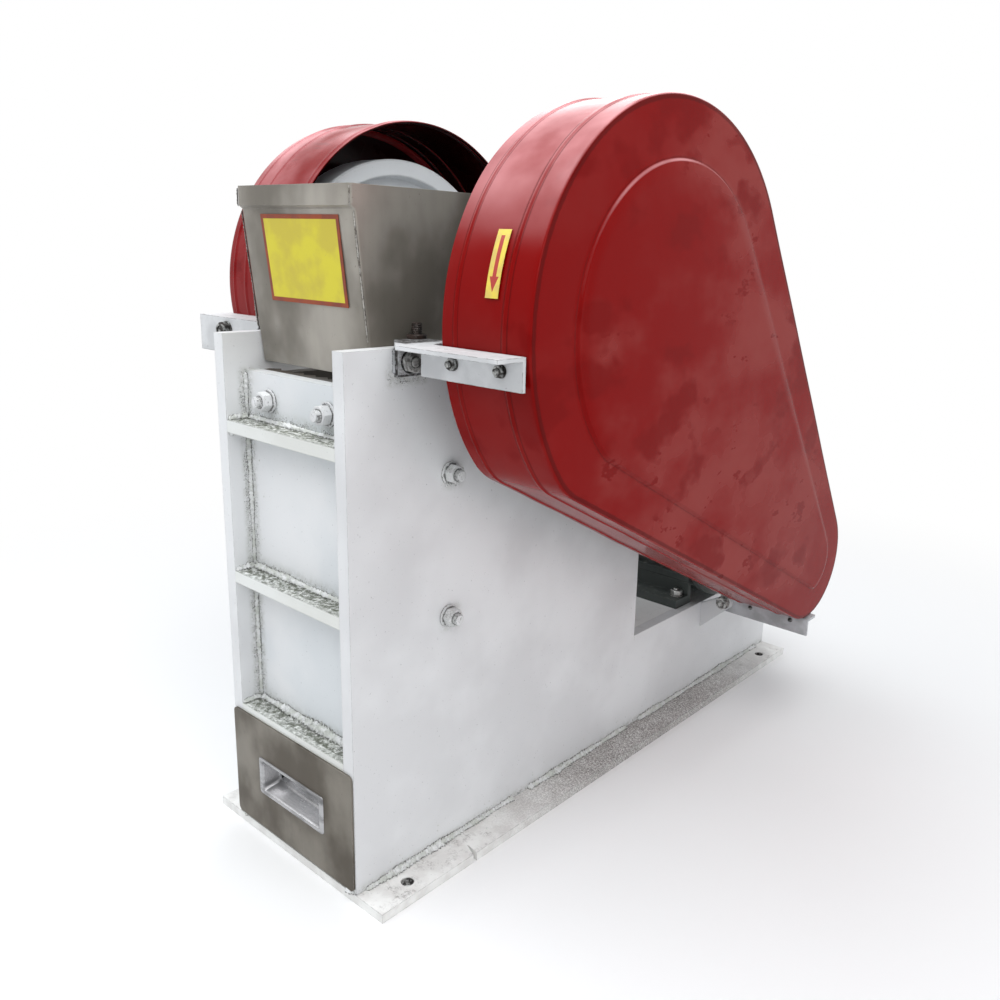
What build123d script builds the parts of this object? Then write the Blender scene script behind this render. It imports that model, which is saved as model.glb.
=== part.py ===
from build123d import *
import os
from math import asin, atan2, cos, degrees, hypot, pi, radians, sin, tan

os.makedirs("parts", exist_ok=True)

# A small jaw crusher on its base plate. X runs to the belt guard, Y to the motor and Z up.
# The origin is the centre of the base plate's underside, and all sizes are millimetres.
# A depth is measured back from the front edges of the side plates, and a height up from the
# top of the base plate.

# Clearances and sheet
SEAT_GAP = 0.3
SHAFT_CLEARANCE = 0.3
SHEET = 2.0

# Base plate
BASE_LENGTH = 870.0
BASE_WIDTH = 300.0
BASE_THICK = 10.0
ANCHOR_INSET_X = 20.0
ANCHOR_INSET_Y = 50.0
ANCHOR_HOLE_R = 7.0
NICK_DEPTH = 130.0
NICK_LENGTH = 17.0
NICK_WIDTH = 5.0

# Welded frame
FRAME_INNER = 185.0
PLATE_THICK = 16.0
TALL_LENGTH = 478.0
TALL_HEIGHT = 560.0
DECK_HEIGHT = 136.0
DECK_THICK = 10.0
WALL_RECESS = 25.0
WALL_THICK = 16.0
WALL_BOTTOM = 132.0
WALL_DROP = 39.0
RIB_THICK = 13.0
RIB_DROP = 64.0
RIB_MIDDLE = 290.0
CROSS_THICK = 16.0
CROSS_DROP = 130.0
END_THICK = 8.0
END_RECESS = 16.0

# Shaft, its bearings and their seats
SHAFT_DEPTH = 281.0
SHAFT_RISE = 22.0
SHAFT_OVERHANG_LEFT = 10.0
SHAFT_OVERHANG_RIGHT = 3.0
SHOULDER_GAP = 1.0
JOURNAL_OVERHANG = 3.0
JOURNAL_R = 20.0
WHEEL_SEAT_R = 18.0
PITMAN_SHAFT_R = 30.0
BEARING_CENTRE = 54.0
BEARING_LENGTH = 190.0
BEARING_WIDTH = 50.0
BEARING_SPAN = 202.0
BEARING_BASE = 18.0
BEARING_RING_R = 50.0
BEARING_SPREAD = 10.0
BEARING_TAPER = 3.0
BEARING_STUD = 20.0
BEARING_BOLT_SPACING = 156.0
SEAT_THICK = 10.0
SEAT_LENGTH = 200.0
NOTCH_CORNER_R = 6.0
END_CAP_R = 27.0
END_CAP_THICK = 5.0
END_NUT_R = 9.0
END_NUT_THICK = 7.0
BORE_GAP = 0.1

# Jaws
JAW_BOTTOM = 240.0
JAW_DROP = 40.0
JAW_BOLT_SPACING = 100.0
JAW_BOLT_DROP = 28.0
LINER_STUD = 18.0
FIXED_JAW_THICK = 20.0
SWING_JAW_THICK = 20.0
TOOTH_RISE = 7.0
FIXED_TEETH = 9
SWING_TEETH = 7
DISCHARGE_GAP = 24.0
FEED_GAPE = 104.0
CHEEK_THICK = 15.0
CHEEK_DROP = 4.0
CHEEK_REAR_TOP = 190.0
CHEEK_REAR_BOTTOM = 140.0
CHEEK_BOLT_DEPTHS = (130.0, 128.0)
CHEEK_BOLT_DROP = 92.0
CHEEK_BOLT_RISE = 32.0
JAW_SIDE_GAP = 1.5

# Pitman, toggle and tension rod
PITMAN_WIDTH = 140.0
PITMAN_HEAD_R = 62.0
PITMAN_HEAD_ANGLE = 40.0
PITMAN_FOOT_DROP = 10.0
PITMAN_TOP_RISE = 8.0
PITMAN_NOSE_ABOVE = 25.0
PITMAN_NOSE_BELOW = 22.0
PITMAN_FRONT_WALL = 16.0
PITMAN_RIB = 12.0
PITMAN_POCKETS = 3
POCKET_START = 80.0
POCKET_END = 235.0
POCKET_DEEP_TOP = 120.0
POCKET_DEEP_FOOT = 100.0
TOGGLE_DEPTH = 185.0
TOGGLE_HEIGHT = 250.0
TOGGLE_RISE = 12.0
TOGGLE_THICK = 12.0
TOGGLE_WIDTH = 130.0
TOGGLE_SEAT_DEPTH = 32.0
TOGGLE_SEAT_HEIGHT = 54.0
ADJUSTER_SPACING = 80.0
ADJUSTER_STUD = 34.0
ROD_R = 6.0
ROD_GAP = 2.0
ROD_PIN_R = 8.0
ROD_PIN_DEPTH = 160.0
ROD_DROP = 45.0
ROD_END = 560.0
ROD_LUG_WALL = 6.0
ROD_LUG_NECK = 24.0
FORK_THICK = 6.0
FORK_EYE_WALL = 4.0
FORK_LENGTH = 32.0
FORK_WIDTH = 20.0
FORK_BRIDGE = 12.0
SPRING_WIRE_R = 2.5
SPRING_WIRE_SIDES = 6
SPRING_CAP_STUD = 16.0
SPRING_R = 13.0
SPRING_TURNS = 5
SPRING_LENGTH = 60.0

# Flywheel
FLYWHEEL_R = 173.0
FLYWHEEL_WIDTH = 43.0
FLYWHEEL_INNER_X = 145.0
FLYWHEEL_RIM = 20.0
FLYWHEEL_WEB = 14.0
FLYWHEEL_HUB_R = 38.0
FLYWHEEL_HUB_X = 131.0

# Belt drive
PULLEY_INNER_X = 185.0
PULLEY_WIDTH = 65.0
DRIVEN_R = 168.0
DRIVER_R = 45.0
PULLEY_RIM = 26.0
PULLEY_WEB = 12.0
PULLEY_HUB_R = 36.0
PULLEY_HUB_X = 165.0
PULLEY_HOLES = 4
PULLEY_HOLE_R = 26.0
BELT_COUNT = 3
BELT_PITCH = 19.0
BELT_TOP_WIDTH = 16.4
BELT_THICK = 11.0
BELT_HALF_ANGLE = 18.0
BELT_SIDE_GAP = 0.4
GROOVE_DEPTH = 14.0
GROOVE_FLOOR = PULLEY_RIM - GROOVE_DEPTH

# Motor
MOTOR_DEPTH = 690.0
MOTOR_CENTRE = 90.0
MOTOR_R = 74.0
MOTOR_FIN = 8.0
MOTOR_FIN_THICK = 3.0
MOTOR_FINS = 24
MOTOR_BACK_X = -95.0
MOTOR_FRONT_X = 108.0
MOTOR_SHOULDER_X = 140.0
MOTOR_NOSE_R = 42.0
MOTOR_SHAFT_R = 12.0
MOTOR_RIM = 10.0
MOTOR_SHAFT_SHORT = 2.0
FOOT_FRONT_X = 97.0
FOOT_LENGTH = 150.0
FOOT_THICK = 13.0
FOOT_WIDTH = 40.0
FOOT_RIB = 8.0
FOOT_BOLT_X = 125.0
FOOT_BOLT_Y = 140.0
FOOT_BOLT_INSET = 13.0
FOOT_STUD = 12.0
COWL_LENGTH = 62.0
COWL_R = 82.0
COWL_CHAMFER = 10.0
BOX_LENGTH = 92.0
BOX_WIDTH = 84.0
BOX_HEIGHT = 44.0
BOX_X = 30.0
BOX_CORNER_R = 8.0
GLAND_R = 13.0
GLAND_LENGTH = 12.0
GLAND_HEIGHT = 20.0

# Belt guard, a pressed and welded sheet cover
GUARD_INNER_X = 169.0
GUARD_WIDTH = 106.0
GUARD_BIG_R = 218.0
GUARD_TIP_R = 84.0
GUARD_TIP_AHEAD = 25.0
GUARD_TIP_ABOVE = 15.0
GUARD_CUT_BIG_ANGLE = 220.9
GUARD_CUT_TIP_ANGLE = 241.2
GUARD_CUT_BELOW = 300.0
GUARD_HEEL_R = 72.0
GUARD_TOE_R = 24.0
GUARD_EDGE_R = 3.0
PANEL_BIG_INSET = 57.0
PANEL_TIP_INSET = 38.0
PANEL_CUT_INSET = 48.0
PANEL_HEEL_R = 40.0
PANEL_TOE_R = 16.0
PANEL_RISE = 3.0
BEAD_WIDTH = 6.0
BEAD_RISE = 1.5
GUARD_BEADS = (185.0, 245.0)

# Flywheel hood
HOOD_BEHIND = 5.5
HOOD_ABOVE = 18.0
HOOD_R = 197.0
HOOD_INNER_X = 110.0
HOOD_WIDTH = 121.0
HOOD_BEADS = (117.0, 190.0, 214.0)

# Brackets of angle section
ANGLE_THICK = 4.0
BRACKET_RISE = 8.0
GUARD_ANGLE_LEG = 30.0
GUARD_ANGLE_TOP_LEG = 34.0
GUARD_ANGLE_START_X = 147.0
GUARD_ANGLE_END_X = 272.0
GUARD_ANGLE_BOLTS = (190.0, 248.0)
ANGLE_BOLT_DROP = 14.0
ANGLE_STUD = 9.0
GUSSET_X = 160.0
RELIEF_X = 118.0
RELIEF_DEPTH = 74.0
HOOD_ANGLE_LEG = 40.0
HOOD_ANGLE_END_X = 234.0
HOOD_ANGLE_DEPTH = 55.0
HOOD_ANGLE_BOLT_X = 176.0
HOOD_REAR_DEPTH = 472.0
REAR_ANGLE_LEG = 25.0
REAR_ANGLE_START_X = 138.0
REAR_ANGLE_END_X = 278.0
REAR_ANGLE_DEPTH = 660.0
REAR_BOLT_DROP = 8.0
REAR_STUD = 9.0
REAR_LUG_THICK = 6.0
REAR_LUG_R = 10.0
REAR_LUG_X = 149.0
REAR_LUG_HEIGHT = 146.0
REAR_LUG_FOOT = (96.0, 134.0)
REAR_LUG_WELD = 1.0
REAR_ANGLE_BOLTS = (188.0, 252.0)
CLEAT_FRONT = 58.0
CLEAT_LENGTH = 34.0
CLEAT_DROP = 27.0
CLEAT_BOLT_DROP = 11.0
CLEAT_STUD = 12.5

# Hopper of stainless sheet
HOPPER_RISE = 146.0
HOPPER_WIDTH = 182.0
HOPPER_DROP = 30.0
COLLAR_HEIGHT = 22.0
COLLAR_SPAN = (24.0, 212.0)
CHUTE_TOP_SPAN = (28.0, 208.0)
CHUTE_FOOT_SPAN = (45.5, 168.0)
CLAMP_THICK = 4.0
CLAMPS = {1: (90.0, 112.0), -1: (125.0, 112.0)}
CLAMP_WIDTH = 30.0
CLAMP_BOLT_X = 104.0
CLAMP_STUD = 20.0

# Drawer
DRAWER_FRONT_WIDTH = 215.0
DRAWER_FRONT_BOTTOM = 4.0
DRAWER_FRONT_TOP = 137.0
DRAWER_CORNER_R = 6.0
TRAY_WIDTH = 170.0
TRAY_LENGTH = 300.0
TRAY_TOP = 118.0
RUNNER_HEIGHT = 6.0
RUNNER_WIDTH = 20.0
RUNNER_SPACING = 130.0
RUNNER_START = 8.0
RUNNER_LENGTH = 330.0
HANDLE_WIDTH = 118.0
HANDLE_BOTTOM = 49.0
HANDLE_HEIGHT = 44.0
HANDLE_LIP = 6.0
HANDLE_EDGE = 3.0
HANDLE_CORNER_R = 3.0
HANDLE_RIM = 1.5
HANDLE_DEPTH = 20.0

# Places worked out from the sizes above
SIDES = (("right", 1), ("left", -1))
FRONT_Y = -BASE_LENGTH / 2
INNER_X = FRAME_INNER / 2
OUTER_X = INNER_X + PLATE_THICK
ANCHOR_SPACING_X = BASE_WIDTH - 2 * ANCHOR_INSET_X
ANCHOR_SPACING_Y = BASE_LENGTH - 2 * ANCHOR_INSET_Y
WALL_BACK = WALL_RECESS + WALL_THICK
WALL_TOP = TALL_HEIGHT - WALL_DROP
RIB_HEIGHTS = {"upper": WALL_TOP - RIB_DROP, "middle": RIB_MIDDLE, "lower": WALL_BOTTOM}
CROSS_TOP = TALL_HEIGHT - CROSS_DROP
SHAFT_HEIGHT = TALL_HEIGHT + SHAFT_RISE
JAW_TOP = TALL_HEIGHT - JAW_DROP
JAW_BOLT_HEIGHT = WALL_TOP - JAW_BOLT_DROP
JAW_BOLTS_X = (-JAW_BOLT_SPACING / 2, JAW_BOLT_SPACING / 2)
CHEEK_TOP = JAW_TOP - CHEEK_DROP
CHEEK_BOLT_HEIGHTS = (JAW_TOP - CHEEK_BOLT_DROP, JAW_BOTTOM + CHEEK_BOLT_RISE)
CHEEK_BOLT_SPOTS = tuple(zip(CHEEK_BOLT_DEPTHS, CHEEK_BOLT_HEIGHTS))
CROSS_FRONT = TALL_LENGTH - CROSS_THICK
BEARING_SEAT = SHAFT_HEIGHT - BEARING_CENTRE
NOTCH_FLOOR = BEARING_SEAT - SEAT_THICK
BEARING_INNER_X = (BEARING_SPAN - BEARING_WIDTH) / 2
FIXED_FACE = WALL_BACK + FIXED_JAW_THICK
CHEEK_INNER_X = INNER_X - CHEEK_THICK
SWING_JAW_WIDTH = 2 * (CHEEK_INNER_X - JAW_SIDE_GAP)
SWING_LEAN = atan2(FEED_GAPE - DISCHARGE_GAP, JAW_TOP - JAW_BOTTOM)
SWING_LENGTH = hypot(FEED_GAPE - DISCHARGE_GAP, JAW_TOP - JAW_BOTTOM)
TOGGLE_SEAT_FRONT = CROSS_FRONT - TOGGLE_SEAT_DEPTH
TOGGLE_END_HEIGHT = TOGGLE_HEIGHT + TOGGLE_RISE
ROD_HEIGHT = TOGGLE_HEIGHT - ROD_DROP
MOTOR_HEIGHT = DECK_HEIGHT + MOTOR_CENTRE
FLYWHEEL_OUTER_X = FLYWHEEL_INNER_X + FLYWHEEL_WIDTH
PULLEY_OUTER_X = PULLEY_INNER_X + PULLEY_WIDTH
SHAFT_LEFT_X = FLYWHEEL_OUTER_X + SHAFT_OVERHANG_LEFT
SHAFT_RIGHT_X = PULLEY_OUTER_X + SHAFT_OVERHANG_RIGHT
GUARD_OUTER_X = GUARD_INNER_X + GUARD_WIDTH
GUARD_TIP_DEPTH = MOTOR_DEPTH - GUARD_TIP_AHEAD
GUARD_TIP_HEIGHT = MOTOR_HEIGHT + GUARD_TIP_ABOVE
HOOD_DEPTH = SHAFT_DEPTH + HOOD_BEHIND
HOOD_HEIGHT = SHAFT_HEIGHT + HOOD_ABOVE
BRACKET_TOP = TALL_HEIGHT + BRACKET_RISE
REAR_ANGLE_TOP = GUARD_TIP_HEIGHT - GUARD_TIP_R - BEAD_RISE - SEAT_GAP
HOPPER_TOP = TALL_HEIGHT + HOPPER_RISE
HOPPER_BOTTOM = TALL_HEIGHT - HOPPER_DROP
DRAWER_FRONT_DEPTH = -SEAT_GAP - SHEET
GUARD_ANGLE_DEPTH = SHAFT_DEPTH - GUARD_BIG_R - BEAD_RISE - SEAT_GAP - ANGLE_THICK

# A thread size: stud radius, washer radius and thickness, nut corner radius and height
M12 = (6.0, 12.5, 2.5, 10.4, 10.0)
M6 = (3.0, 6.0, 1.5, 5.8, 4.5)
M10 = (5.0, 10.0, 2.0, 9.2, 8.0)
M16 = (8.0, 15.0, 3.0, 13.9, 13.0)
SPRING_CAP = (6.0, 18.0, 3.0, 10.4, 10.0)


def yz(depth, height):
    """Side-view point of a depth and a height."""
    return (FRONT_Y + depth, BASE_THICK + height)


def spot(x, depth, height):
    """Point in space of an X, a depth and a height."""
    return (x, FRONT_Y + depth, BASE_THICK + height)


def side_plane(x):
    """Plane of the side views, facing right."""
    return Plane.YZ.offset(x)


def front_plane(depth):
    """Plane across the machine, facing front; its Y runs up from the underside."""
    return Plane.XZ.offset(-FRONT_Y - depth)


def level_plane(height):
    """Level plane at a height above the base plate."""
    return Plane.XY.offset(BASE_THICK + height)


def save(piece, name):
    """Label a finished piece and write it to a file of its name."""
    piece.part.label = name
    export_step(piece.part, f"parts/{name}.step")


def block(x_span, depth_span, height_span, mode=Mode.ADD):
    """Rectangular stretch of the piece being built, between two X, depths and heights."""
    with BuildSketch(level_plane(height_span[0])) as footprint:
        with Locations((sum(x_span) / 2, FRONT_Y + sum(depth_span) / 2)):
            Rectangle(x_span[1] - x_span[0], depth_span[1] - depth_span[0])
    extrude(footprint.sketch, amount=height_span[1] - height_span[0], mode=mode)


def fastener(place, out, thread, stud_out, grip):
    """Washer, nut and stud on a surface of the piece being built; the stud goes in by its grip."""
    stud_r, washer_r, washer_thick, nut_r, nut_height = thread
    seat = Plane(origin=place, z_dir=out)
    with BuildSketch(seat) as washer:
        Circle(washer_r)
    extrude(washer.sketch, amount=washer_thick)
    with BuildSketch(seat.offset(washer_thick)) as nut:
        RegularPolygon(radius=nut_r, side_count=6)
    extrude(nut.sketch, amount=nut_height)
    with BuildSketch(seat.offset(-grip)) as stud:
        Circle(stud_r)
    extrude(stud.sketch, amount=grip + stud_out)


def up_the_jaw(along, behind):
    """Depth and height of a point up the swing jaw's face and behind it."""
    depth = FIXED_FACE + DISCHARGE_GAP + along * sin(SWING_LEAN) + behind * cos(SWING_LEAN)
    height = JAW_BOTTOM + along * cos(SWING_LEAN) - behind * sin(SWING_LEAN)
    return (depth, height)


def toothed_section(width, thick, teeth):
    """Section of a jaw plate, with the crests of its teeth on the sketch's X axis."""
    pitch = width / teeth
    outline = [(-width / 2, TOOTH_RISE)]
    for tooth in range(teeth):
        left = tooth * pitch - width / 2
        outline += [(left + pitch / 2, 0), (left + pitch, TOOTH_RISE)]
    with BuildLine() as section:
        Polyline(*outline, (width / 2, thick), (-width / 2, thick), close=True)
    make_face(section.edges())


def angle_section(corner_depth, corner_height, down, run):
    """Angle section from its outer corner, one leg going down and one running along the depth."""
    web_end = corner_depth + ANGLE_THICK * (1 if run > 0 else -1)
    with BuildLine() as section:
        Polyline(
            yz(corner_depth, corner_height),
            yz(corner_depth + run, corner_height),
            yz(corner_depth + run, corner_height - ANGLE_THICK),
            yz(web_end, corner_height - ANGLE_THICK),
            yz(web_end, corner_height - down),
            yz(corner_depth, corner_height - down),
            close=True,
        )
    make_face(section.edges())


# Base plate, with its anchor holes and a small nick in the right edge
with BuildPart() as base_plate:
    with BuildSketch():
        Rectangle(BASE_WIDTH, BASE_LENGTH)
        with GridLocations(ANCHOR_SPACING_X, ANCHOR_SPACING_Y, 2, 2):
            Circle(ANCHOR_HOLE_R, mode=Mode.SUBTRACT)
        with BuildLine():
            Polyline(
                (BASE_WIDTH / 2 + 1, FRONT_Y + NICK_DEPTH - NICK_WIDTH / 2),
                (BASE_WIDTH / 2 + 1, FRONT_Y + NICK_DEPTH + NICK_WIDTH / 2),
                (BASE_WIDTH / 2 - NICK_LENGTH, FRONT_Y + NICK_DEPTH + NICK_WIDTH),
                close=True,
            )
        make_face(mode=Mode.SUBTRACT)
    extrude(amount=BASE_THICK)
save(base_plate, "base_plate")

# Side plates, tall round the jaws and low beside the motor, notched for the bearings
for side, sign in SIDES:
    with BuildPart() as side_plate:
        with BuildSketch(side_plane(sign * INNER_X)):
            with BuildLine():
                Polyline(
                    yz(0, 0),
                    yz(0, TALL_HEIGHT),
                    yz(TALL_LENGTH, TALL_HEIGHT),
                    yz(TALL_LENGTH, DECK_HEIGHT),
                    yz(BASE_LENGTH, DECK_HEIGHT),
                    yz(BASE_LENGTH, 0),
                    close=True,
                )
            make_face()
            with Locations(yz(SHAFT_DEPTH, TALL_HEIGHT)):
                RectangleRounded(
                    SEAT_LENGTH + 2 * NOTCH_CORNER_R,
                    2 * (TALL_HEIGHT - NOTCH_FLOOR),
                    NOTCH_CORNER_R,
                    mode=Mode.SUBTRACT,
                )
            with Locations(*[yz(*bolt) for bolt in CHEEK_BOLT_SPOTS]):
                Circle(M12[0] + SEAT_GAP, mode=Mode.SUBTRACT)
        extrude(amount=sign * PLATE_THICK)
    save(side_plate, f"side_plate_{side}")

# Front wall that backs the fixed jaw
with BuildPart() as front_wall:
    with BuildSketch(front_plane(WALL_BACK)):
        with Locations((0, BASE_THICK + (WALL_BOTTOM + WALL_TOP) / 2)):
            Rectangle(FRAME_INNER, WALL_TOP - WALL_BOTTOM)
        with Locations(*[(x, BASE_THICK + JAW_BOLT_HEIGHT) for x in JAW_BOLTS_X]):
            Circle(M12[0] + SEAT_GAP, mode=Mode.SUBTRACT)
    extrude(amount=WALL_THICK)
save(front_wall, "front_wall")

# Three cross ribs, flush with the front edges of the side plates
for rib, height in RIB_HEIGHTS.items():
    with BuildPart() as front_rib:
        block((-INNER_X, INNER_X), (0, WALL_RECESS), (height, height + RIB_THICK))
    save(front_rib, f"front_rib_{rib}")

# Rear cross plate, with holes for the adjusting bolts and the tension rod
with BuildPart() as rear_cross_plate:
    block((-INNER_X, INNER_X), (CROSS_FRONT, TALL_LENGTH), (DECK_HEIGHT - DECK_THICK, CROSS_TOP))
    with BuildSketch(front_plane(TALL_LENGTH)):
        for x in (-ADJUSTER_SPACING / 2, ADJUSTER_SPACING / 2):
            with Locations((x, BASE_THICK + TOGGLE_END_HEIGHT)):
                Circle(M16[0] + SEAT_GAP)
        with Locations((0, BASE_THICK + ROD_HEIGHT)):
            Circle(ROD_R + ROD_GAP)
    extrude(amount=CROSS_THICK, mode=Mode.SUBTRACT)
save(rear_cross_plate, "rear_cross_plate")

# Motor deck and the plate that closes the frame behind
with BuildPart() as motor_deck:
    block((-INNER_X, INNER_X), (TALL_LENGTH, BASE_LENGTH), (DECK_HEIGHT - DECK_THICK, DECK_HEIGHT))
save(motor_deck, "motor_deck")

with BuildPart() as rear_end_plate:
    block(
        (-INNER_X, INNER_X),
        (BASE_LENGTH - END_RECESS - END_THICK, BASE_LENGTH - END_RECESS),
        (0, DECK_HEIGHT - DECK_THICK),
    )
save(rear_end_plate, "rear_end_plate")

# Seats welded into the notches, and the bearing blocks bolted on them
for side, sign in SIDES:
    inner = sign * BEARING_INNER_X
    with BuildPart() as bearing_seat:
        with BuildSketch(level_plane(NOTCH_FLOOR)):
            with Locations((inner + sign * BEARING_WIDTH / 2, FRONT_Y + SHAFT_DEPTH)):
                Rectangle(BEARING_WIDTH, SEAT_LENGTH)
        extrude(amount=SEAT_THICK)
    save(bearing_seat, f"bearing_seat_{side}")

    with BuildPart() as bearing_block:
        with BuildSketch(side_plane(inner)):
            with Locations(yz(SHAFT_DEPTH, BEARING_SEAT + BEARING_BASE / 2)):
                Rectangle(BEARING_LENGTH, BEARING_BASE)
            with BuildLine():
                Polyline(
                    yz(SHAFT_DEPTH - BEARING_RING_R - BEARING_SPREAD, BEARING_SEAT + BEARING_BASE),
                    yz(SHAFT_DEPTH - BEARING_RING_R + BEARING_TAPER, SHAFT_HEIGHT),
                    yz(SHAFT_DEPTH + BEARING_RING_R - BEARING_TAPER, SHAFT_HEIGHT),
                    yz(SHAFT_DEPTH + BEARING_RING_R + BEARING_SPREAD, BEARING_SEAT + BEARING_BASE),
                    close=True,
                )
            make_face()
            with Locations(yz(SHAFT_DEPTH, SHAFT_HEIGHT)):
                Circle(BEARING_RING_R)
        extrude(amount=sign * BEARING_WIDTH)
        with BuildSketch(side_plane(inner)):
            with Locations(yz(SHAFT_DEPTH, SHAFT_HEIGHT)):
                Circle(JOURNAL_R + SHAFT_CLEARANCE)
        extrude(amount=sign * BEARING_WIDTH, mode=Mode.SUBTRACT)
        with BuildSketch(level_plane(BEARING_SEAT)):
            with Locations((inner + sign * BEARING_WIDTH / 2, FRONT_Y + SHAFT_DEPTH)):
                with GridLocations(0, BEARING_BOLT_SPACING, 1, 2):
                    Circle(M16[0] + SEAT_GAP)
        extrude(amount=BEARING_BASE, mode=Mode.SUBTRACT)
    save(bearing_block, f"bearing_block_{side}")

with BuildPart() as bearing_bolts:
    for x in (-BEARING_SPAN / 2, BEARING_SPAN / 2):
        for depth in (SHAFT_DEPTH - BEARING_BOLT_SPACING / 2, SHAFT_DEPTH + BEARING_BOLT_SPACING / 2):
            bolt_seat = spot(x, depth, BEARING_SEAT + BEARING_BASE)
            fastener(bolt_seat, (0, 0, 1), M16, BEARING_STUD, BEARING_BASE)
save(bearing_bolts, "bearing_bolts")

# Fixed jaw, a toothed casting against the front wall, and its two bolts
with BuildPart() as fixed_jaw:
    jaw_foot = Plane(origin=spot(0, FIXED_FACE, JAW_BOTTOM), x_dir=(-1, 0, 0), z_dir=(0, 0, 1))
    with BuildSketch(jaw_foot):
        toothed_section(FRAME_INNER - 2 * SEAT_GAP, FIXED_JAW_THICK, FIXED_TEETH)
    extrude(amount=JAW_TOP - JAW_BOTTOM)
save(fixed_jaw, "fixed_jaw")

with BuildPart() as jaw_bolts:
    for x in JAW_BOLTS_X:
        fastener(spot(x, WALL_RECESS, JAW_BOLT_HEIGHT), (0, -1, 0), M12, LINER_STUD, WALL_THICK)
save(jaw_bolts, "jaw_bolts")

# Cheek plates line the side plates between the jaws, held by bolts from outside
for side, sign in SIDES:
    with BuildPart() as cheek_plate:
        with BuildSketch(side_plane(sign * CHEEK_INNER_X)):
            with BuildLine():
                Polyline(
                    yz(FIXED_FACE + SEAT_GAP, JAW_BOTTOM),
                    yz(FIXED_FACE + SEAT_GAP, CHEEK_TOP),
                    yz(CHEEK_REAR_TOP, CHEEK_TOP),
                    yz(CHEEK_REAR_BOTTOM, JAW_BOTTOM),
                    close=True,
                )
            make_face()
        extrude(amount=sign * CHEEK_THICK)
    save(cheek_plate, f"cheek_plate_{side}")

    with BuildPart() as cheek_bolts:
        for depth, height in CHEEK_BOLT_SPOTS:
            fastener(spot(sign * OUTER_X, depth, height), (sign, 0, 0), M12, LINER_STUD, PLATE_THICK)
    save(cheek_bolts, f"cheek_bolts_{side}")

# Swing jaw, leaning back from the discharge to the feed opening
with BuildPart() as swing_jaw:
    foot_depth, foot_height = up_the_jaw(0, 0)
    swing_foot = Plane(
        origin=spot(0, foot_depth, foot_height),
        x_dir=(1, 0, 0),
        z_dir=(0, sin(SWING_LEAN), cos(SWING_LEAN)),
    )
    with BuildSketch(swing_foot):
        toothed_section(SWING_JAW_WIDTH, SWING_JAW_THICK, SWING_TEETH)
    extrude(amount=SWING_LENGTH)
save(swing_jaw, "swing_jaw")

# Pitman: a cast arm from the shaft down to the toggle, ribbed at the back
PITMAN_HALF = PITMAN_WIDTH / 2
POCKET_WIDTH = (PITMAN_WIDTH - (PITMAN_POCKETS + 1) * PITMAN_RIB) / PITMAN_POCKETS
POCKET_BACK = SWING_JAW_THICK + PITMAN_FRONT_WALL
with BuildPart() as pitman:
    with BuildSketch(side_plane(-PITMAN_HALF)):
        with BuildLine():
            Polyline(
                yz(*up_the_jaw(-PITMAN_FOOT_DROP, SWING_JAW_THICK)),
                yz(*up_the_jaw(SWING_LENGTH + PITMAN_TOP_RISE, SWING_JAW_THICK)),
                yz(SHAFT_DEPTH - PITMAN_HEAD_R, SHAFT_HEIGHT),
                yz(SHAFT_DEPTH, SHAFT_HEIGHT),
                yz(
                    SHAFT_DEPTH + PITMAN_HEAD_R * cos(radians(PITMAN_HEAD_ANGLE)),
                    SHAFT_HEIGHT - PITMAN_HEAD_R * sin(radians(PITMAN_HEAD_ANGLE)),
                ),
                yz(TOGGLE_DEPTH, TOGGLE_HEIGHT + PITMAN_NOSE_ABOVE),
                yz(TOGGLE_DEPTH, TOGGLE_HEIGHT - PITMAN_NOSE_BELOW),
                close=True,
            )
        make_face()
        with Locations(yz(SHAFT_DEPTH, SHAFT_HEIGHT)):
            Circle(PITMAN_HEAD_R)
    extrude(amount=PITMAN_WIDTH)
    for pocket in range(PITMAN_POCKETS):
        pocket_x = PITMAN_RIB - PITMAN_HALF + pocket * (POCKET_WIDTH + PITMAN_RIB)
        with BuildSketch(side_plane(pocket_x)):
            with BuildLine():
                Polyline(
                    yz(*up_the_jaw(POCKET_START, POCKET_BACK)),
                    yz(*up_the_jaw(POCKET_END, POCKET_BACK)),
                    yz(*up_the_jaw(POCKET_END, POCKET_BACK + POCKET_DEEP_TOP)),
                    yz(*up_the_jaw(POCKET_START, POCKET_BACK + POCKET_DEEP_FOOT)),
                    close=True,
                )
            make_face()
        extrude(amount=POCKET_WIDTH, mode=Mode.SUBTRACT)
    with BuildSketch(side_plane(-ROD_PIN_R)):
        with Locations(yz(ROD_PIN_DEPTH, ROD_HEIGHT)):
            Circle(ROD_PIN_R + ROD_LUG_WALL)
        with Locations(yz(ROD_PIN_DEPTH, (ROD_HEIGHT + TOGGLE_HEIGHT) / 2)):
            Rectangle(ROD_LUG_NECK, TOGGLE_HEIGHT - ROD_HEIGHT)
    extrude(amount=2 * ROD_PIN_R)
    with BuildSketch(side_plane(-PITMAN_HALF)):
        with Locations(yz(SHAFT_DEPTH, SHAFT_HEIGHT)):
            Circle(PITMAN_SHAFT_R + SHAFT_CLEARANCE)
        with Locations(yz(TOGGLE_DEPTH, TOGGLE_HEIGHT)):
            Circle(TOGGLE_THICK / 2 + SEAT_GAP)
        with Locations(yz(ROD_PIN_DEPTH, ROD_HEIGHT)):
            Circle(ROD_PIN_R + SEAT_GAP)
    extrude(amount=PITMAN_WIDTH, mode=Mode.SUBTRACT)
save(pitman, "pitman")

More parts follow.
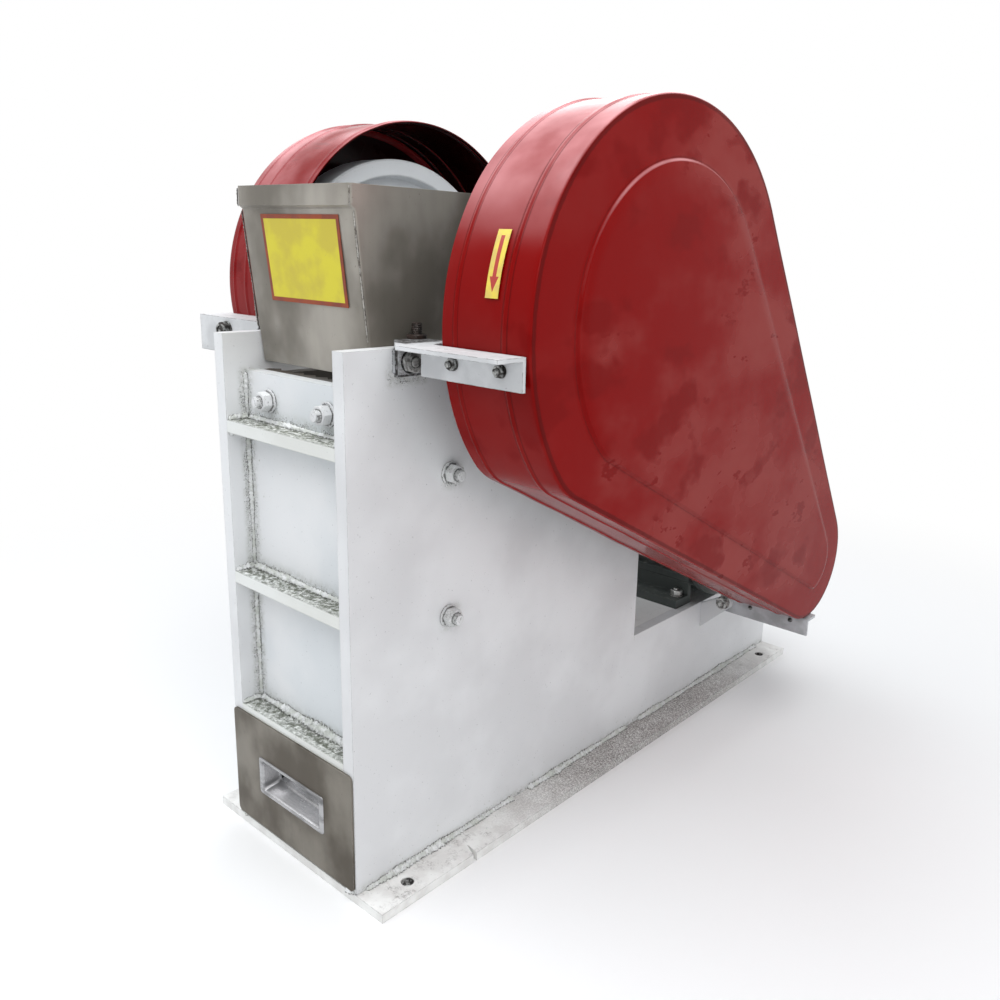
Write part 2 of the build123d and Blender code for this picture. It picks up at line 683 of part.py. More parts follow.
# Toggle plate between the pitman and its adjustable seat
TOGGLE_RUN = TOGGLE_SEAT_FRONT - TOGGLE_DEPTH
with BuildPart() as toggle_plate:
    middle = spot(-TOGGLE_WIDTH / 2, TOGGLE_DEPTH + TOGGLE_RUN / 2, TOGGLE_HEIGHT + TOGGLE_RISE / 2)
    along = Plane(origin=middle, x_dir=(0, TOGGLE_RUN, TOGGLE_RISE), z_dir=(1, 0, 0))
    with BuildSketch(along):
        SlotCenterToCenter(hypot(TOGGLE_RUN, TOGGLE_RISE), TOGGLE_THICK)
    extrude(amount=TOGGLE_WIDTH)
save(toggle_plate, "toggle_plate")

with BuildPart() as toggle_seat:
    seat_middle = yz(CROSS_FRONT - TOGGLE_SEAT_DEPTH / 2, TOGGLE_END_HEIGHT)
    with BuildSketch(side_plane(-PITMAN_HALF)):
        with Locations(seat_middle):
            Rectangle(TOGGLE_SEAT_DEPTH, TOGGLE_SEAT_HEIGHT)
        with Locations(yz(TOGGLE_SEAT_FRONT, TOGGLE_END_HEIGHT)):
            Circle(TOGGLE_THICK / 2 + SEAT_GAP, mode=Mode.SUBTRACT)
    extrude(amount=PITMAN_WIDTH)
save(toggle_seat, "toggle_seat")

with BuildPart() as adjusting_bolts:
    for x in (-ADJUSTER_SPACING / 2, ADJUSTER_SPACING / 2):
        bolt_seat = spot(x, TALL_LENGTH, TOGGLE_END_HEIGHT)
        fastener(bolt_seat, (0, 1, 0), M16, ADJUSTER_STUD, CROSS_THICK)
save(adjusting_bolts, "adjusting_bolts")

# Tension rod, forked round the pitman's lug, and its spring behind the cross plate
FORK_X = ROD_PIN_R + SEAT_GAP
BRIDGE_DEPTH = ROD_PIN_DEPTH + FORK_LENGTH - FORK_BRIDGE / 2
SPRING_END = TALL_LENGTH + SPRING_LENGTH + 2 * SPRING_WIRE_R + SEAT_GAP
with BuildPart() as tension_rod:
    for sign in (-1, 1):
        with BuildSketch(side_plane(sign * FORK_X)):
            with Locations(yz(ROD_PIN_DEPTH, ROD_HEIGHT)):
                Circle(ROD_PIN_R + FORK_EYE_WALL)
            with Locations(yz(ROD_PIN_DEPTH + FORK_LENGTH / 2, ROD_HEIGHT)):
                Rectangle(FORK_LENGTH, FORK_WIDTH)
        extrude(amount=sign * FORK_THICK)
    with BuildSketch(side_plane(-FORK_X - FORK_THICK)):
        with Locations(yz(ROD_PIN_DEPTH, ROD_HEIGHT)):
            Circle(ROD_PIN_R)
        with Locations(yz(BRIDGE_DEPTH, ROD_HEIGHT)):
            Rectangle(FORK_BRIDGE, FORK_WIDTH)
    extrude(amount=2 * (FORK_X + FORK_THICK))
    with BuildSketch(front_plane(ROD_END)):
        with Locations((0, BASE_THICK + ROD_HEIGHT)):
            Circle(ROD_R)
    extrude(amount=ROD_END - BRIDGE_DEPTH)
    fastener(spot(0, SPRING_END, ROD_HEIGHT), (0, 1, 0), SPRING_CAP, SPRING_CAP_STUD, 0.0)
save(tension_rod, "tension_rod")

with BuildPart() as tension_spring:
    with BuildLine() as coil:
        Helix(
            pitch=SPRING_LENGTH / SPRING_TURNS,
            height=SPRING_LENGTH,
            radius=SPRING_R,
            center=spot(0, TALL_LENGTH + SPRING_WIRE_R, ROD_HEIGHT),
            direction=(0, 1, 0),
        )
    with BuildSketch(Plane(origin=coil.line @ 0, z_dir=coil.line % 0)):
        RegularPolygon(radius=SPRING_WIRE_R, side_count=SPRING_WIRE_SIDES)
    sweep(is_frenet=True)
save(tension_spring, "tension_spring")

# Shaft, flywheel and driven pulley turn together
AXLE_PLANE = Plane(origin=spot(0, SHAFT_DEPTH, SHAFT_HEIGHT), x_dir=(1, 0, 0), z_dir=(0, -1, 0))
AXLE = Axis(spot(0, SHAFT_DEPTH, SHAFT_HEIGHT), (1, 0, 0))
ECCENTRIC_X = PITMAN_HALF + SHOULDER_GAP
JOURNAL_X = BEARING_INNER_X + BEARING_WIDTH + JOURNAL_OVERHANG
with BuildPart() as eccentric_shaft:
    with BuildSketch(AXLE_PLANE):
        with BuildLine():
            Polyline(
                (-SHAFT_LEFT_X, 0),
                (-SHAFT_LEFT_X, WHEEL_SEAT_R),
                (-JOURNAL_X, WHEEL_SEAT_R),
                (-JOURNAL_X, JOURNAL_R),
                (-ECCENTRIC_X, JOURNAL_R),
                (-ECCENTRIC_X, PITMAN_SHAFT_R),
                (ECCENTRIC_X, PITMAN_SHAFT_R),
                (ECCENTRIC_X, JOURNAL_R),
                (JOURNAL_X, JOURNAL_R),
                (JOURNAL_X, WHEEL_SEAT_R),
                (SHAFT_RIGHT_X, WHEEL_SEAT_R),
                (SHAFT_RIGHT_X, 0),
                close=True,
            )
        make_face()
    revolve(axis=AXLE)
save(eccentric_shaft, "eccentric_shaft")

with BuildPart() as shaft_end_caps:
    for end_x, sign in ((SHAFT_RIGHT_X, 1), (-SHAFT_LEFT_X, -1)):
        face = Plane(origin=spot(end_x, SHAFT_DEPTH, SHAFT_HEIGHT), z_dir=(sign, 0, 0))
        with BuildSketch(face):
            Circle(END_CAP_R)
        extrude(amount=END_CAP_THICK)
        with BuildSketch(face.offset(END_CAP_THICK)):
            RegularPolygon(radius=END_NUT_R, side_count=6)
        extrude(amount=END_NUT_THICK)
save(shaft_end_caps, "shaft_end_caps")

HUB_BORE = WHEEL_SEAT_R + BORE_GAP
with BuildPart() as flywheel:
    wheel_middle = -FLYWHEEL_INNER_X - FLYWHEEL_WIDTH / 2
    with BuildSketch(AXLE_PLANE):
        with Locations((wheel_middle, FLYWHEEL_R - FLYWHEEL_RIM / 2)):
            Rectangle(FLYWHEEL_WIDTH, FLYWHEEL_RIM)
        with Locations((wheel_middle, (FLYWHEEL_R - FLYWHEEL_RIM / 2 + HUB_BORE) / 2)):
            Rectangle(FLYWHEEL_WEB, FLYWHEEL_R - FLYWHEEL_RIM / 2 - HUB_BORE)
        with Locations((-(FLYWHEEL_HUB_X + SHAFT_LEFT_X) / 2, (HUB_BORE + FLYWHEEL_HUB_R) / 2)):
            Rectangle(SHAFT_LEFT_X - FLYWHEEL_HUB_X, FLYWHEEL_HUB_R - HUB_BORE)
    revolve(axis=AXLE)
save(flywheel, "flywheel")


def groove_centres():
    """X of each belt groove, evenly spaced across the pulleys."""
    middle = PULLEY_INNER_X + PULLEY_WIDTH / 2
    return [middle + (belt - (BELT_COUNT - 1) / 2) * BELT_PITCH for belt in range(BELT_COUNT)]


def cut_grooves(rim_r):
    """Take the belt grooves out of a pulley section of a rim radius."""
    slope = tan(radians(BELT_HALF_ANGLE))
    half_top = BELT_TOP_WIDTH / 2 + BELT_SIDE_GAP
    half_root = half_top - GROOVE_DEPTH * slope
    for middle in groove_centres():
        with BuildLine() as groove:
            Polyline(
                (middle - half_top - slope, rim_r + 1),
                (middle + half_top + slope, rim_r + 1),
                (middle + half_root, rim_r - GROOVE_DEPTH),
                (middle - half_root, rim_r - GROOVE_DEPTH),
                close=True,
            )
        make_face(groove.edges(), mode=Mode.SUBTRACT)


with BuildPart() as driven_pulley:
    pulley_middle = PULLEY_INNER_X + PULLEY_WIDTH / 2
    rim_bottom = DRIVEN_R - PULLEY_RIM
    web_height = rim_bottom + GROOVE_FLOOR / 2 - HUB_BORE
    with BuildSketch(AXLE_PLANE):
        with Locations((pulley_middle, DRIVEN_R - PULLEY_RIM / 2)):
            Rectangle(PULLEY_WIDTH, PULLEY_RIM)
        with Locations((pulley_middle, HUB_BORE + web_height / 2)):
            Rectangle(PULLEY_WEB, web_height)
        with Locations(((PULLEY_HUB_X + SHAFT_RIGHT_X) / 2, (HUB_BORE + PULLEY_HUB_R) / 2)):
            Rectangle(SHAFT_RIGHT_X - PULLEY_HUB_X, PULLEY_HUB_R - HUB_BORE)
        cut_grooves(DRIVEN_R)
    revolve(axis=AXLE)
    with BuildSketch(AXLE_PLANE.rotated((0, 90, 0)).offset(PULLEY_INNER_X)):
        with PolarLocations((rim_bottom + PULLEY_HUB_R) / 2, PULLEY_HOLES, start_angle=45):
            Circle(PULLEY_HOLE_R)
    extrude(amount=PULLEY_WIDTH, mode=Mode.SUBTRACT)
save(driven_pulley, "driven_pulley")

MOTOR_PLANE = Plane(origin=spot(0, MOTOR_DEPTH, MOTOR_HEIGHT), x_dir=(1, 0, 0), z_dir=(0, -1, 0))
MOTOR_AXIS = Axis(spot(0, MOTOR_DEPTH, MOTOR_HEIGHT), (1, 0, 0))
MOTOR_BORE = MOTOR_SHAFT_R + BORE_GAP
with BuildPart() as motor_pulley:
    with BuildSketch(MOTOR_PLANE):
        with Locations((pulley_middle, (DRIVER_R + MOTOR_BORE) / 2)):
            Rectangle(PULLEY_WIDTH, DRIVER_R - MOTOR_BORE)
        cut_grooves(DRIVER_R)
    revolve(axis=MOTOR_AXIS)
save(motor_pulley, "motor_pulley")

# Belts, each one fixed loop: two turns round the pulleys and two straight runs between them
BELT_RUN_DEPTH = MOTOR_DEPTH - SHAFT_DEPTH
BELT_RUN_HEIGHT = MOTOR_HEIGHT - SHAFT_HEIGHT
BELT_CENTRES = hypot(BELT_RUN_DEPTH, BELT_RUN_HEIGHT)
BELT_SLOPE = atan2(BELT_RUN_HEIGHT, BELT_RUN_DEPTH)
BELT_LEAN = asin((DRIVEN_R - DRIVER_R) / BELT_CENTRES)


def belt_plane(depth, height, angle):
    """Section plane of a belt on a pulley, with X along the axle and Y out at an angle."""
    outwards = (0, cos(angle), sin(angle))
    return Plane(origin=spot(0, depth, height), x_dir=(1, 0, 0), z_dir=(0, -outwards[2], outwards[1]))


def belt_section(middle, rim_r):
    """Section of a belt that lies in its groove, its back flush with a rim of a radius."""
    half_top = BELT_TOP_WIDTH / 2
    half_root = half_top - BELT_THICK * tan(radians(BELT_HALF_ANGLE))
    with BuildLine() as section:
        Polyline(
            (middle - half_top, rim_r),
            (middle + half_top, rim_r),
            (middle + half_root, rim_r - BELT_THICK),
            (middle - half_root, rim_r - BELT_THICK),
            close=True,
        )
    make_face(section.edges())


with BuildPart() as v_belts:
    for middle in groove_centres():
        upper = BELT_SLOPE + pi / 2 - BELT_LEAN
        lower = BELT_SLOPE - pi / 2 + BELT_LEAN
        with BuildSketch(belt_plane(SHAFT_DEPTH, SHAFT_HEIGHT, upper)) as big_turn:
            belt_section(middle, DRIVEN_R)
        revolve(big_turn.sketch, axis=AXLE, revolution_arc=180 + 2 * degrees(BELT_LEAN))
        with BuildSketch(belt_plane(MOTOR_DEPTH, MOTOR_HEIGHT, lower)) as small_turn:
            belt_section(middle, DRIVER_R)
        revolve(small_turn.sketch, axis=MOTOR_AXIS, revolution_arc=180 - 2 * degrees(BELT_LEAN))
        for angle, sense in ((upper, -1), (lower, 1)):
            with BuildSketch(belt_plane(SHAFT_DEPTH, SHAFT_HEIGHT, angle)) as run:
                belt_section(middle, DRIVEN_R)
            extrude(run.sketch, amount=sense * BELT_CENTRES * cos(BELT_LEAN))
save(v_belts, "v_belts")

# Motor: finned body on its feet, fan cowl behind and terminal box on top
with BuildPart() as motor_body:
    with BuildSketch(side_plane(MOTOR_BACK_X)):
        with Locations(yz(MOTOR_DEPTH, MOTOR_HEIGHT)):
            Circle(MOTOR_R)
            with PolarLocations(MOTOR_R, MOTOR_FINS):
                Rectangle(2 * MOTOR_FIN, MOTOR_FIN_THICK)
    extrude(amount=MOTOR_FRONT_X - MOTOR_BACK_X)
    with BuildSketch(MOTOR_PLANE):
        with BuildLine():
            Polyline(
                (MOTOR_FRONT_X, 0),
                (MOTOR_FRONT_X, MOTOR_R + MOTOR_FIN),
                (MOTOR_FRONT_X + MOTOR_RIM, MOTOR_R + MOTOR_FIN),
                (MOTOR_SHOULDER_X, MOTOR_NOSE_R),
                (MOTOR_SHOULDER_X, MOTOR_SHAFT_R),
                (PULLEY_OUTER_X - MOTOR_SHAFT_SHORT, MOTOR_SHAFT_R),
                (PULLEY_OUTER_X - MOTOR_SHAFT_SHORT, 0),
                close=True,
            )
        make_face()
    revolve(axis=MOTOR_AXIS)
    for side in (-1, 1):
        near = MOTOR_DEPTH + side * (FOOT_BOLT_Y / 2 - FOOT_WIDTH / 2)
        far = MOTOR_DEPTH + side * (FOOT_BOLT_Y / 2 + FOOT_WIDTH / 2)
        block(
            (FOOT_FRONT_X - FOOT_LENGTH, FOOT_FRONT_X),
            sorted((near, far)),
            (DECK_HEIGHT, DECK_HEIGHT + FOOT_THICK),
        )
        block(
            (FOOT_FRONT_X - FOOT_LENGTH, FOOT_FRONT_X),
            sorted((near, near + side * FOOT_RIB)),
            (DECK_HEIGHT, MOTOR_HEIGHT - MOTOR_R / 2),
        )
save(motor_body, "motor_body")

with BuildPart() as motor_fan_cowl:
    with BuildSketch(MOTOR_PLANE):
        with Locations((MOTOR_BACK_X - COWL_LENGTH / 2, COWL_R / 2)):
            Rectangle(COWL_LENGTH, COWL_R)
    revolve(axis=MOTOR_AXIS)
    chamfer(motor_fan_cowl.edges().filter_by(GeomType.CIRCLE).sort_by(Axis.X)[0], COWL_CHAMFER)
save(motor_fan_cowl, "motor_fan_cowl")

BOX_BOTTOM = MOTOR_HEIGHT + MOTOR_R + MOTOR_FIN
with BuildPart() as motor_terminal_box:
    block(
        (BOX_X - BOX_LENGTH / 2, BOX_X + BOX_LENGTH / 2),
        (MOTOR_DEPTH - BOX_WIDTH / 2, MOTOR_DEPTH + BOX_WIDTH / 2),
        (BOX_BOTTOM, BOX_BOTTOM + BOX_HEIGHT),
    )
    fillet(motor_terminal_box.edges().filter_by(Axis.Z), BOX_CORNER_R)
    gland_place = spot(BOX_X, MOTOR_DEPTH + BOX_WIDTH / 2, BOX_BOTTOM + GLAND_HEIGHT)
    with BuildSketch(Plane(origin=gland_place, z_dir=(0, 1, 0))):
        RegularPolygon(radius=GLAND_R, side_count=6)
    extrude(amount=GLAND_LENGTH)
save(motor_terminal_box, "motor_terminal_box")

with BuildPart() as motor_bolts:
    bolt_x = FOOT_FRONT_X - FOOT_BOLT_INSET
    for x in (bolt_x, bolt_x - FOOT_BOLT_X):
        for depth in (MOTOR_DEPTH - FOOT_BOLT_Y / 2, MOTOR_DEPTH + FOOT_BOLT_Y / 2):
            fastener(spot(x, depth, DECK_HEIGHT + FOOT_THICK), (0, 0, 1), M10, FOOT_STUD, 0.0)
save(motor_bolts, "motor_bolts")


def guard_shape(sketch, insets, corner_radii):
    """Teardrop in a sketch: insets of its big arc, tip arc and straight cut, and two corner radii."""
    big_inset, tip_inset, cut_inset = insets
    heel_r, toe_r = corner_radii
    big = (SHAFT_DEPTH, SHAFT_HEIGHT)
    tip = (GUARD_TIP_DEPTH, GUARD_TIP_HEIGHT)
    cut_start = (
        big[0] + GUARD_BIG_R * cos(radians(GUARD_CUT_BIG_ANGLE)),
        big[1] + GUARD_BIG_R * sin(radians(GUARD_CUT_BIG_ANGLE)),
    )
    cut_end = (
        tip[0] + GUARD_TIP_R * cos(radians(GUARD_CUT_TIP_ANGLE)),
        tip[1] + GUARD_TIP_R * sin(radians(GUARD_CUT_TIP_ANGLE)),
    )
    slope = atan2(cut_end[1] - cut_start[1], cut_end[0] - cut_start[0])
    middle = ((cut_start[0] + cut_end[0]) / 2, (cut_start[1] + cut_end[1]) / 2)
    with Locations(yz(*big)):
        Circle(GUARD_BIG_R - big_inset)
    with Locations(yz(*tip)):
        Circle(GUARD_TIP_R - tip_inset)
    make_hull()
    centre = (
        middle[0] + (GUARD_CUT_BELOW - cut_inset) * sin(slope),
        middle[1] - (GUARD_CUT_BELOW - cut_inset) * cos(slope),
    )
    with Locations(Location((*yz(*centre), 0), (0, 0, degrees(slope)))):
        Rectangle(4 * GUARD_CUT_BELOW, 2 * GUARD_CUT_BELOW, mode=Mode.SUBTRACT)
    heel = sketch.vertices().sort_by_distance(yz(*cut_start))[0]
    fillet(heel, heel_r)
    toe = sketch.vertices().sort_by_distance(yz(*cut_end))[0]
    fillet(toe, toe_r)


def guard_outline(sketch, inset):
    """Outline of the belt guard in a sketch, moved in all round by an inset."""
    guard_shape(sketch, (inset, inset, inset), (GUARD_HEEL_R - inset, GUARD_TOE_R - inset))


# Belt guard: outer form with beads round the rim and a raised panel, then its hollow
with BuildPart() as guard_hollow:
    with BuildSketch(side_plane(GUARD_INNER_X)) as inner_outline:
        guard_outline(inner_outline, SHEET)
    extrude(amount=GUARD_WIDTH - SHEET)
    fillet(guard_hollow.faces().sort_by(Axis.X)[-1].edges(), GUARD_EDGE_R - SHEET)

with BuildPart() as belt_guard:
    with BuildSketch(side_plane(GUARD_INNER_X)) as outer_outline:
        guard_outline(outer_outline, 0)
    extrude(amount=GUARD_WIDTH)
    fillet(belt_guard.faces().sort_by(Axis.X)[-1].edges(), GUARD_EDGE_R)
    for bead_x in GUARD_BEADS:
        with BuildSketch(side_plane(bead_x - BEAD_WIDTH / 2)) as bead_outline:
            guard_outline(bead_outline, -BEAD_RISE)
        extrude(amount=BEAD_WIDTH)
    with BuildSketch(side_plane(GUARD_OUTER_X)) as panel_outline:
        panel_insets = (PANEL_BIG_INSET, PANEL_TIP_INSET, PANEL_CUT_INSET)
        guard_shape(panel_outline, panel_insets, (PANEL_HEEL_R, PANEL_TOE_R))
    extrude(amount=PANEL_RISE, taper=45)
    add(guard_hollow.part, mode=Mode.SUBTRACT)
save(belt_guard, "belt_guard")


def hood_outline(inset):
    """Outline of the flywheel hood, moved in by an inset: an arch cut level at its foot."""
    with Locations(yz(HOOD_DEPTH, HOOD_HEIGHT)):
        Circle(HOOD_R - inset)
    with Locations(yz(HOOD_DEPTH, BRACKET_TOP - HOOD_R)):
        Rectangle(3 * HOOD_R, 2 * HOOD_R, mode=Mode.SUBTRACT)


# Flywheel hood, open to the machine and below
HOOD_OUTER_X = HOOD_INNER_X + HOOD_WIDTH
with BuildPart() as hood_hollow:
    with BuildSketch(side_plane(-HOOD_INNER_X)):
        hood_outline(SHEET)
    extrude(amount=-HOOD_WIDTH + SHEET)
    arch = hood_hollow.faces().sort_by(Axis.X)[0].edges().filter_by(GeomType.CIRCLE)
    fillet(arch, GUARD_EDGE_R - SHEET)

with BuildPart() as flywheel_hood:
    with BuildSketch(side_plane(-HOOD_INNER_X)):
        hood_outline(0)
    extrude(amount=-HOOD_WIDTH)
    arch = flywheel_hood.faces().sort_by(Axis.X)[0].edges().filter_by(GeomType.CIRCLE)
    fillet(arch, GUARD_EDGE_R)
    for bead_x in HOOD_BEADS:
        with BuildSketch(side_plane(-bead_x - BEAD_WIDTH / 2)):
            hood_outline(-BEAD_RISE)
        extrude(amount=BEAD_WIDTH)
    add(hood_hollow.part, mode=Mode.SUBTRACT)
save(flywheel_hood, "flywheel_hood")

# Angle brackets that carry the guard and the hood
ANGLE_BACK = GUARD_ANGLE_DEPTH + ANGLE_THICK
CLEAT_BACK = CLEAT_FRONT + CLEAT_LENGTH
with BuildPart() as guard_bracket_front:
    with BuildSketch(side_plane(GUARD_ANGLE_START_X)):
        angle_section(ANGLE_BACK, BRACKET_TOP, GUARD_ANGLE_LEG, -GUARD_ANGLE_TOP_LEG)
    extrude(amount=GUARD_ANGLE_END_X - GUARD_ANGLE_START_X)
    with BuildSketch(level_plane(BRACKET_TOP - ANGLE_THICK)) as gusset:
        with BuildLine():
            Polyline(
                (OUTER_X, FRONT_Y + CLEAT_FRONT),
                (GUARD_ANGLE_START_X, FRONT_Y + ANGLE_BACK - GUARD_ANGLE_TOP_LEG),
                (GUSSET_X, FRONT_Y + ANGLE_BACK - GUARD_ANGLE_TOP_LEG),
                (GUSSET_X, FRONT_Y + ANGLE_BACK),
                (GUARD_ANGLE_START_X, FRONT_Y + CLEAT_BACK),
                (RELIEF_X, FRONT_Y + CLEAT_BACK),
                (RELIEF_X, FRONT_Y + RELIEF_DEPTH),
                (OUTER_X, FRONT_Y + RELIEF_DEPTH),
                close=True,
            )
        make_face()
    extrude(gusset.sketch, amount=ANGLE_THICK)
    cleat_x = (OUTER_X, OUTER_X + ANGLE_THICK)
    block(cleat_x, (CLEAT_FRONT, CLEAT_BACK), (TALL_HEIGHT - CLEAT_DROP, TALL_HEIGHT - SEAT_GAP))
    block(cleat_x, (CLEAT_FRONT, RELIEF_DEPTH), (TALL_HEIGHT - SEAT_GAP, BRACKET_TOP - ANGLE_THICK))
save(guard_bracket_front, "guard_bracket_front")

with BuildPart() as guard_bracket_rear:
    with BuildSketch(side_plane(REAR_ANGLE_START_X)):
        angle_section(REAR_ANGLE_DEPTH, REAR_ANGLE_TOP, REAR_ANGLE_LEG, REAR_ANGLE_LEG)
    extrude(amount=REAR_ANGLE_END_X - REAR_ANGLE_START_X)
save(guard_bracket_rear, "guard_bracket_rear")

# Lug on the right side plate that carries the rear bracket at its rounded end
with BuildPart() as rear_bracket_lug:
    with BuildSketch(front_plane(REAR_ANGLE_DEPTH)):
        with Locations((REAR_LUG_X, BASE_THICK + REAR_LUG_HEIGHT)):
            Circle(REAR_LUG_R)
        with Locations((OUTER_X + REAR_LUG_WELD / 2, BASE_THICK + sum(REAR_LUG_FOOT) / 2)):
            Rectangle(REAR_LUG_WELD, REAR_LUG_FOOT[1] - REAR_LUG_FOOT[0])
        make_hull()
    extrude(amount=REAR_LUG_THICK)
save(rear_bracket_lug, "rear_bracket_lug")

with BuildPart() as hood_bracket_front:
    with BuildSketch(side_plane(-OUTER_X)):
        angle_section(HOOD_ANGLE_DEPTH, BRACKET_TOP, HOOD_ANGLE_LEG, HOOD_ANGLE_LEG)
    extrude(amount=-(HOOD_ANGLE_END_X - OUTER_X))
save(hood_bracket_front, "hood_bracket_front")

with BuildPart() as hood_bracket_rear:
    with BuildSketch(side_plane(-OUTER_X)):
        angle_section(HOOD_REAR_DEPTH, BRACKET_TOP, HOOD_ANGLE_LEG, HOOD_ANGLE_LEG)
    extrude(amount=-(HOOD_ANGLE_END_X - OUTER_X))
save(hood_bracket_rear, "hood_bracket_rear")

with BuildPart() as bracket_bolts:
    angle_bolt_height = BRACKET_TOP - ANGLE_BOLT_DROP
    for x in GUARD_ANGLE_BOLTS:
        fastener(spot(x, GUARD_ANGLE_DEPTH, angle_bolt_height), (0, -1, 0), M6, ANGLE_STUD, 0.0)
    hood_bolt = spot(-HOOD_ANGLE_BOLT_X, HOOD_ANGLE_DEPTH, angle_bolt_height)
    fastener(hood_bolt, (0, -1, 0), M10, ANGLE_STUD, 0.0)
    for x in REAR_ANGLE_BOLTS:
        rear_bolt = spot(x, REAR_ANGLE_DEPTH, REAR_ANGLE_TOP - REAR_BOLT_DROP)
        fastener(rear_bolt, (0, -1, 0), M6, REAR_STUD, 0.0)
    lug_bolt = spot(REAR_LUG_X, REAR_ANGLE_DEPTH - REAR_LUG_THICK, REAR_LUG_HEIGHT)
    fastener(lug_bolt, (0, -1, 0), M6, REAR_STUD, 0.0)
    cleat_bolt = spot(OUTER_X + ANGLE_THICK, CLEAT_FRONT + CLEAT_LENGTH / 2, TALL_HEIGHT - CLEAT_BOLT_DROP)
    fastener(cleat_bolt, (1, 0, 0), M12, CLEAT_STUD, 0.0)
save(bracket_bolts, "bracket_bolts")

# Hopper: a collar, and one chute of four flat sheets that runs on down between the plates
CHUTE_TOP = HOPPER_TOP - COLLAR_HEIGHT


def hopper_section(span, inset):
    """Rectangle of the hopper at one level, between two depths and moved in by an inset."""
    with Locations((0, FRONT_Y + sum(span) / 2)):
        Rectangle(HOPPER_WIDTH - 2 * inset, span[1] - span[0] - 2 * inset)


with BuildPart() as hopper_hollow:
    with BuildSketch(level_plane(CHUTE_TOP + SHEET)):
        hopper_section(COLLAR_SPAN, SHEET)
    extrude(amount=COLLAR_HEIGHT - SHEET)
    with BuildSketch(level_plane(CHUTE_TOP)):
        hopper_section(CHUTE_TOP_SPAN, SHEET)
    extrude(amount=SHEET)
    with BuildSketch(level_plane(HOPPER_BOTTOM)):
        hopper_section(CHUTE_FOOT_SPAN, SHEET)
    with BuildSketch(level_plane(CHUTE_TOP)):
        hopper_section(CHUTE_TOP_SPAN, SHEET)
    loft()

with BuildPart() as hopper:
    with BuildSketch(level_plane(CHUTE_TOP)):
        hopper_section(COLLAR_SPAN, 0)
    extrude(amount=COLLAR_HEIGHT)
    with BuildSketch(level_plane(HOPPER_BOTTOM)):
        hopper_section(CHUTE_FOOT_SPAN, 0)
    with BuildSketch(level_plane(CHUTE_TOP)):
        hopper_section(CHUTE_TOP_SPAN, 0)
    loft()
    add(hopper_hollow.part, mode=Mode.SUBTRACT)
save(hopper, "hopper")

# Clamps on the side plates that hold the hopper between them
with BuildPart() as hopper_clamps:
    for sign, (depth, outer_x) in CLAMPS.items():
        block(
            sorted((sign * (HOPPER_WIDTH / 2 + SEAT_GAP), sign * outer_x)),
            (depth - CLAMP_WIDTH / 2, depth + CLAMP_WIDTH / 2),
            (TALL_HEIGHT, TALL_HEIGHT + CLAMP_THICK),
        )
save(hopper_clamps, "hopper_clamps")

with BuildPart() as clamp_bolts:
    for sign, (depth, outer_x) in CLAMPS.items():
        clamp_bolt = spot(sign * CLAMP_BOLT_X, depth, TALL_HEIGHT + CLAMP_THICK)
        fastener(clamp_bolt, (0, 0, 1), M12, CLAMP_STUD, 0.0)
save(clamp_bolts, "clamp_bolts")

# Drawer for the crushed stone, on two runners
with BuildPart() as drawer_runners:
    for x in (-RUNNER_SPACING / 2, RUNNER_SPACING / 2):
        block(
            (x - RUNNER_WIDTH / 2, x + RUNNER_WIDTH / 2),
            (RUNNER_START, RUNNER_START + RUNNER_LENGTH),
            (0, RUNNER_HEIGHT),
        )
save(drawer_runners, "drawer_runners")

TRAY_BOTTOM = RUNNER_HEIGHT + SEAT_GAP
with BuildPart() as drawer_tray:
    block((-TRAY_WIDTH / 2, TRAY_WIDTH / 2), (-SEAT_GAP, TRAY_LENGTH), (TRAY_BOTTOM, TRAY_TOP))
    block(
        (SHEET - TRAY_WIDTH / 2, TRAY_WIDTH / 2 - SHEET),
        (-SEAT_GAP, TRAY_LENGTH - SHEET),
        (TRAY_BOTTOM + SHEET, TRAY_TOP),
        mode=Mode.SUBTRACT,
    )
save(drawer_tray, "drawer_tray")

HANDLE_MIDDLE = (0, BASE_THICK + HANDLE_BOTTOM + HANDLE_HEIGHT / 2)
CUP_WIDTH = HANDLE_WIDTH - 2 * HANDLE_LIP
CUP_HEIGHT = HANDLE_HEIGHT - 2 * HANDLE_EDGE
with BuildPart() as drawer_front:
    with BuildSketch(front_plane(DRAWER_FRONT_DEPTH + SHEET)):
        with Locations((0, BASE_THICK + (DRAWER_FRONT_BOTTOM + DRAWER_FRONT_TOP) / 2)):
            RectangleRounded(
                DRAWER_FRONT_WIDTH, DRAWER_FRONT_TOP - DRAWER_FRONT_BOTTOM, DRAWER_CORNER_R
            )
        with Locations(HANDLE_MIDDLE):
            Rectangle(CUP_WIDTH, CUP_HEIGHT, mode=Mode.SUBTRACT)
    extrude(amount=SHEET)
save(drawer_front, "drawer_front")

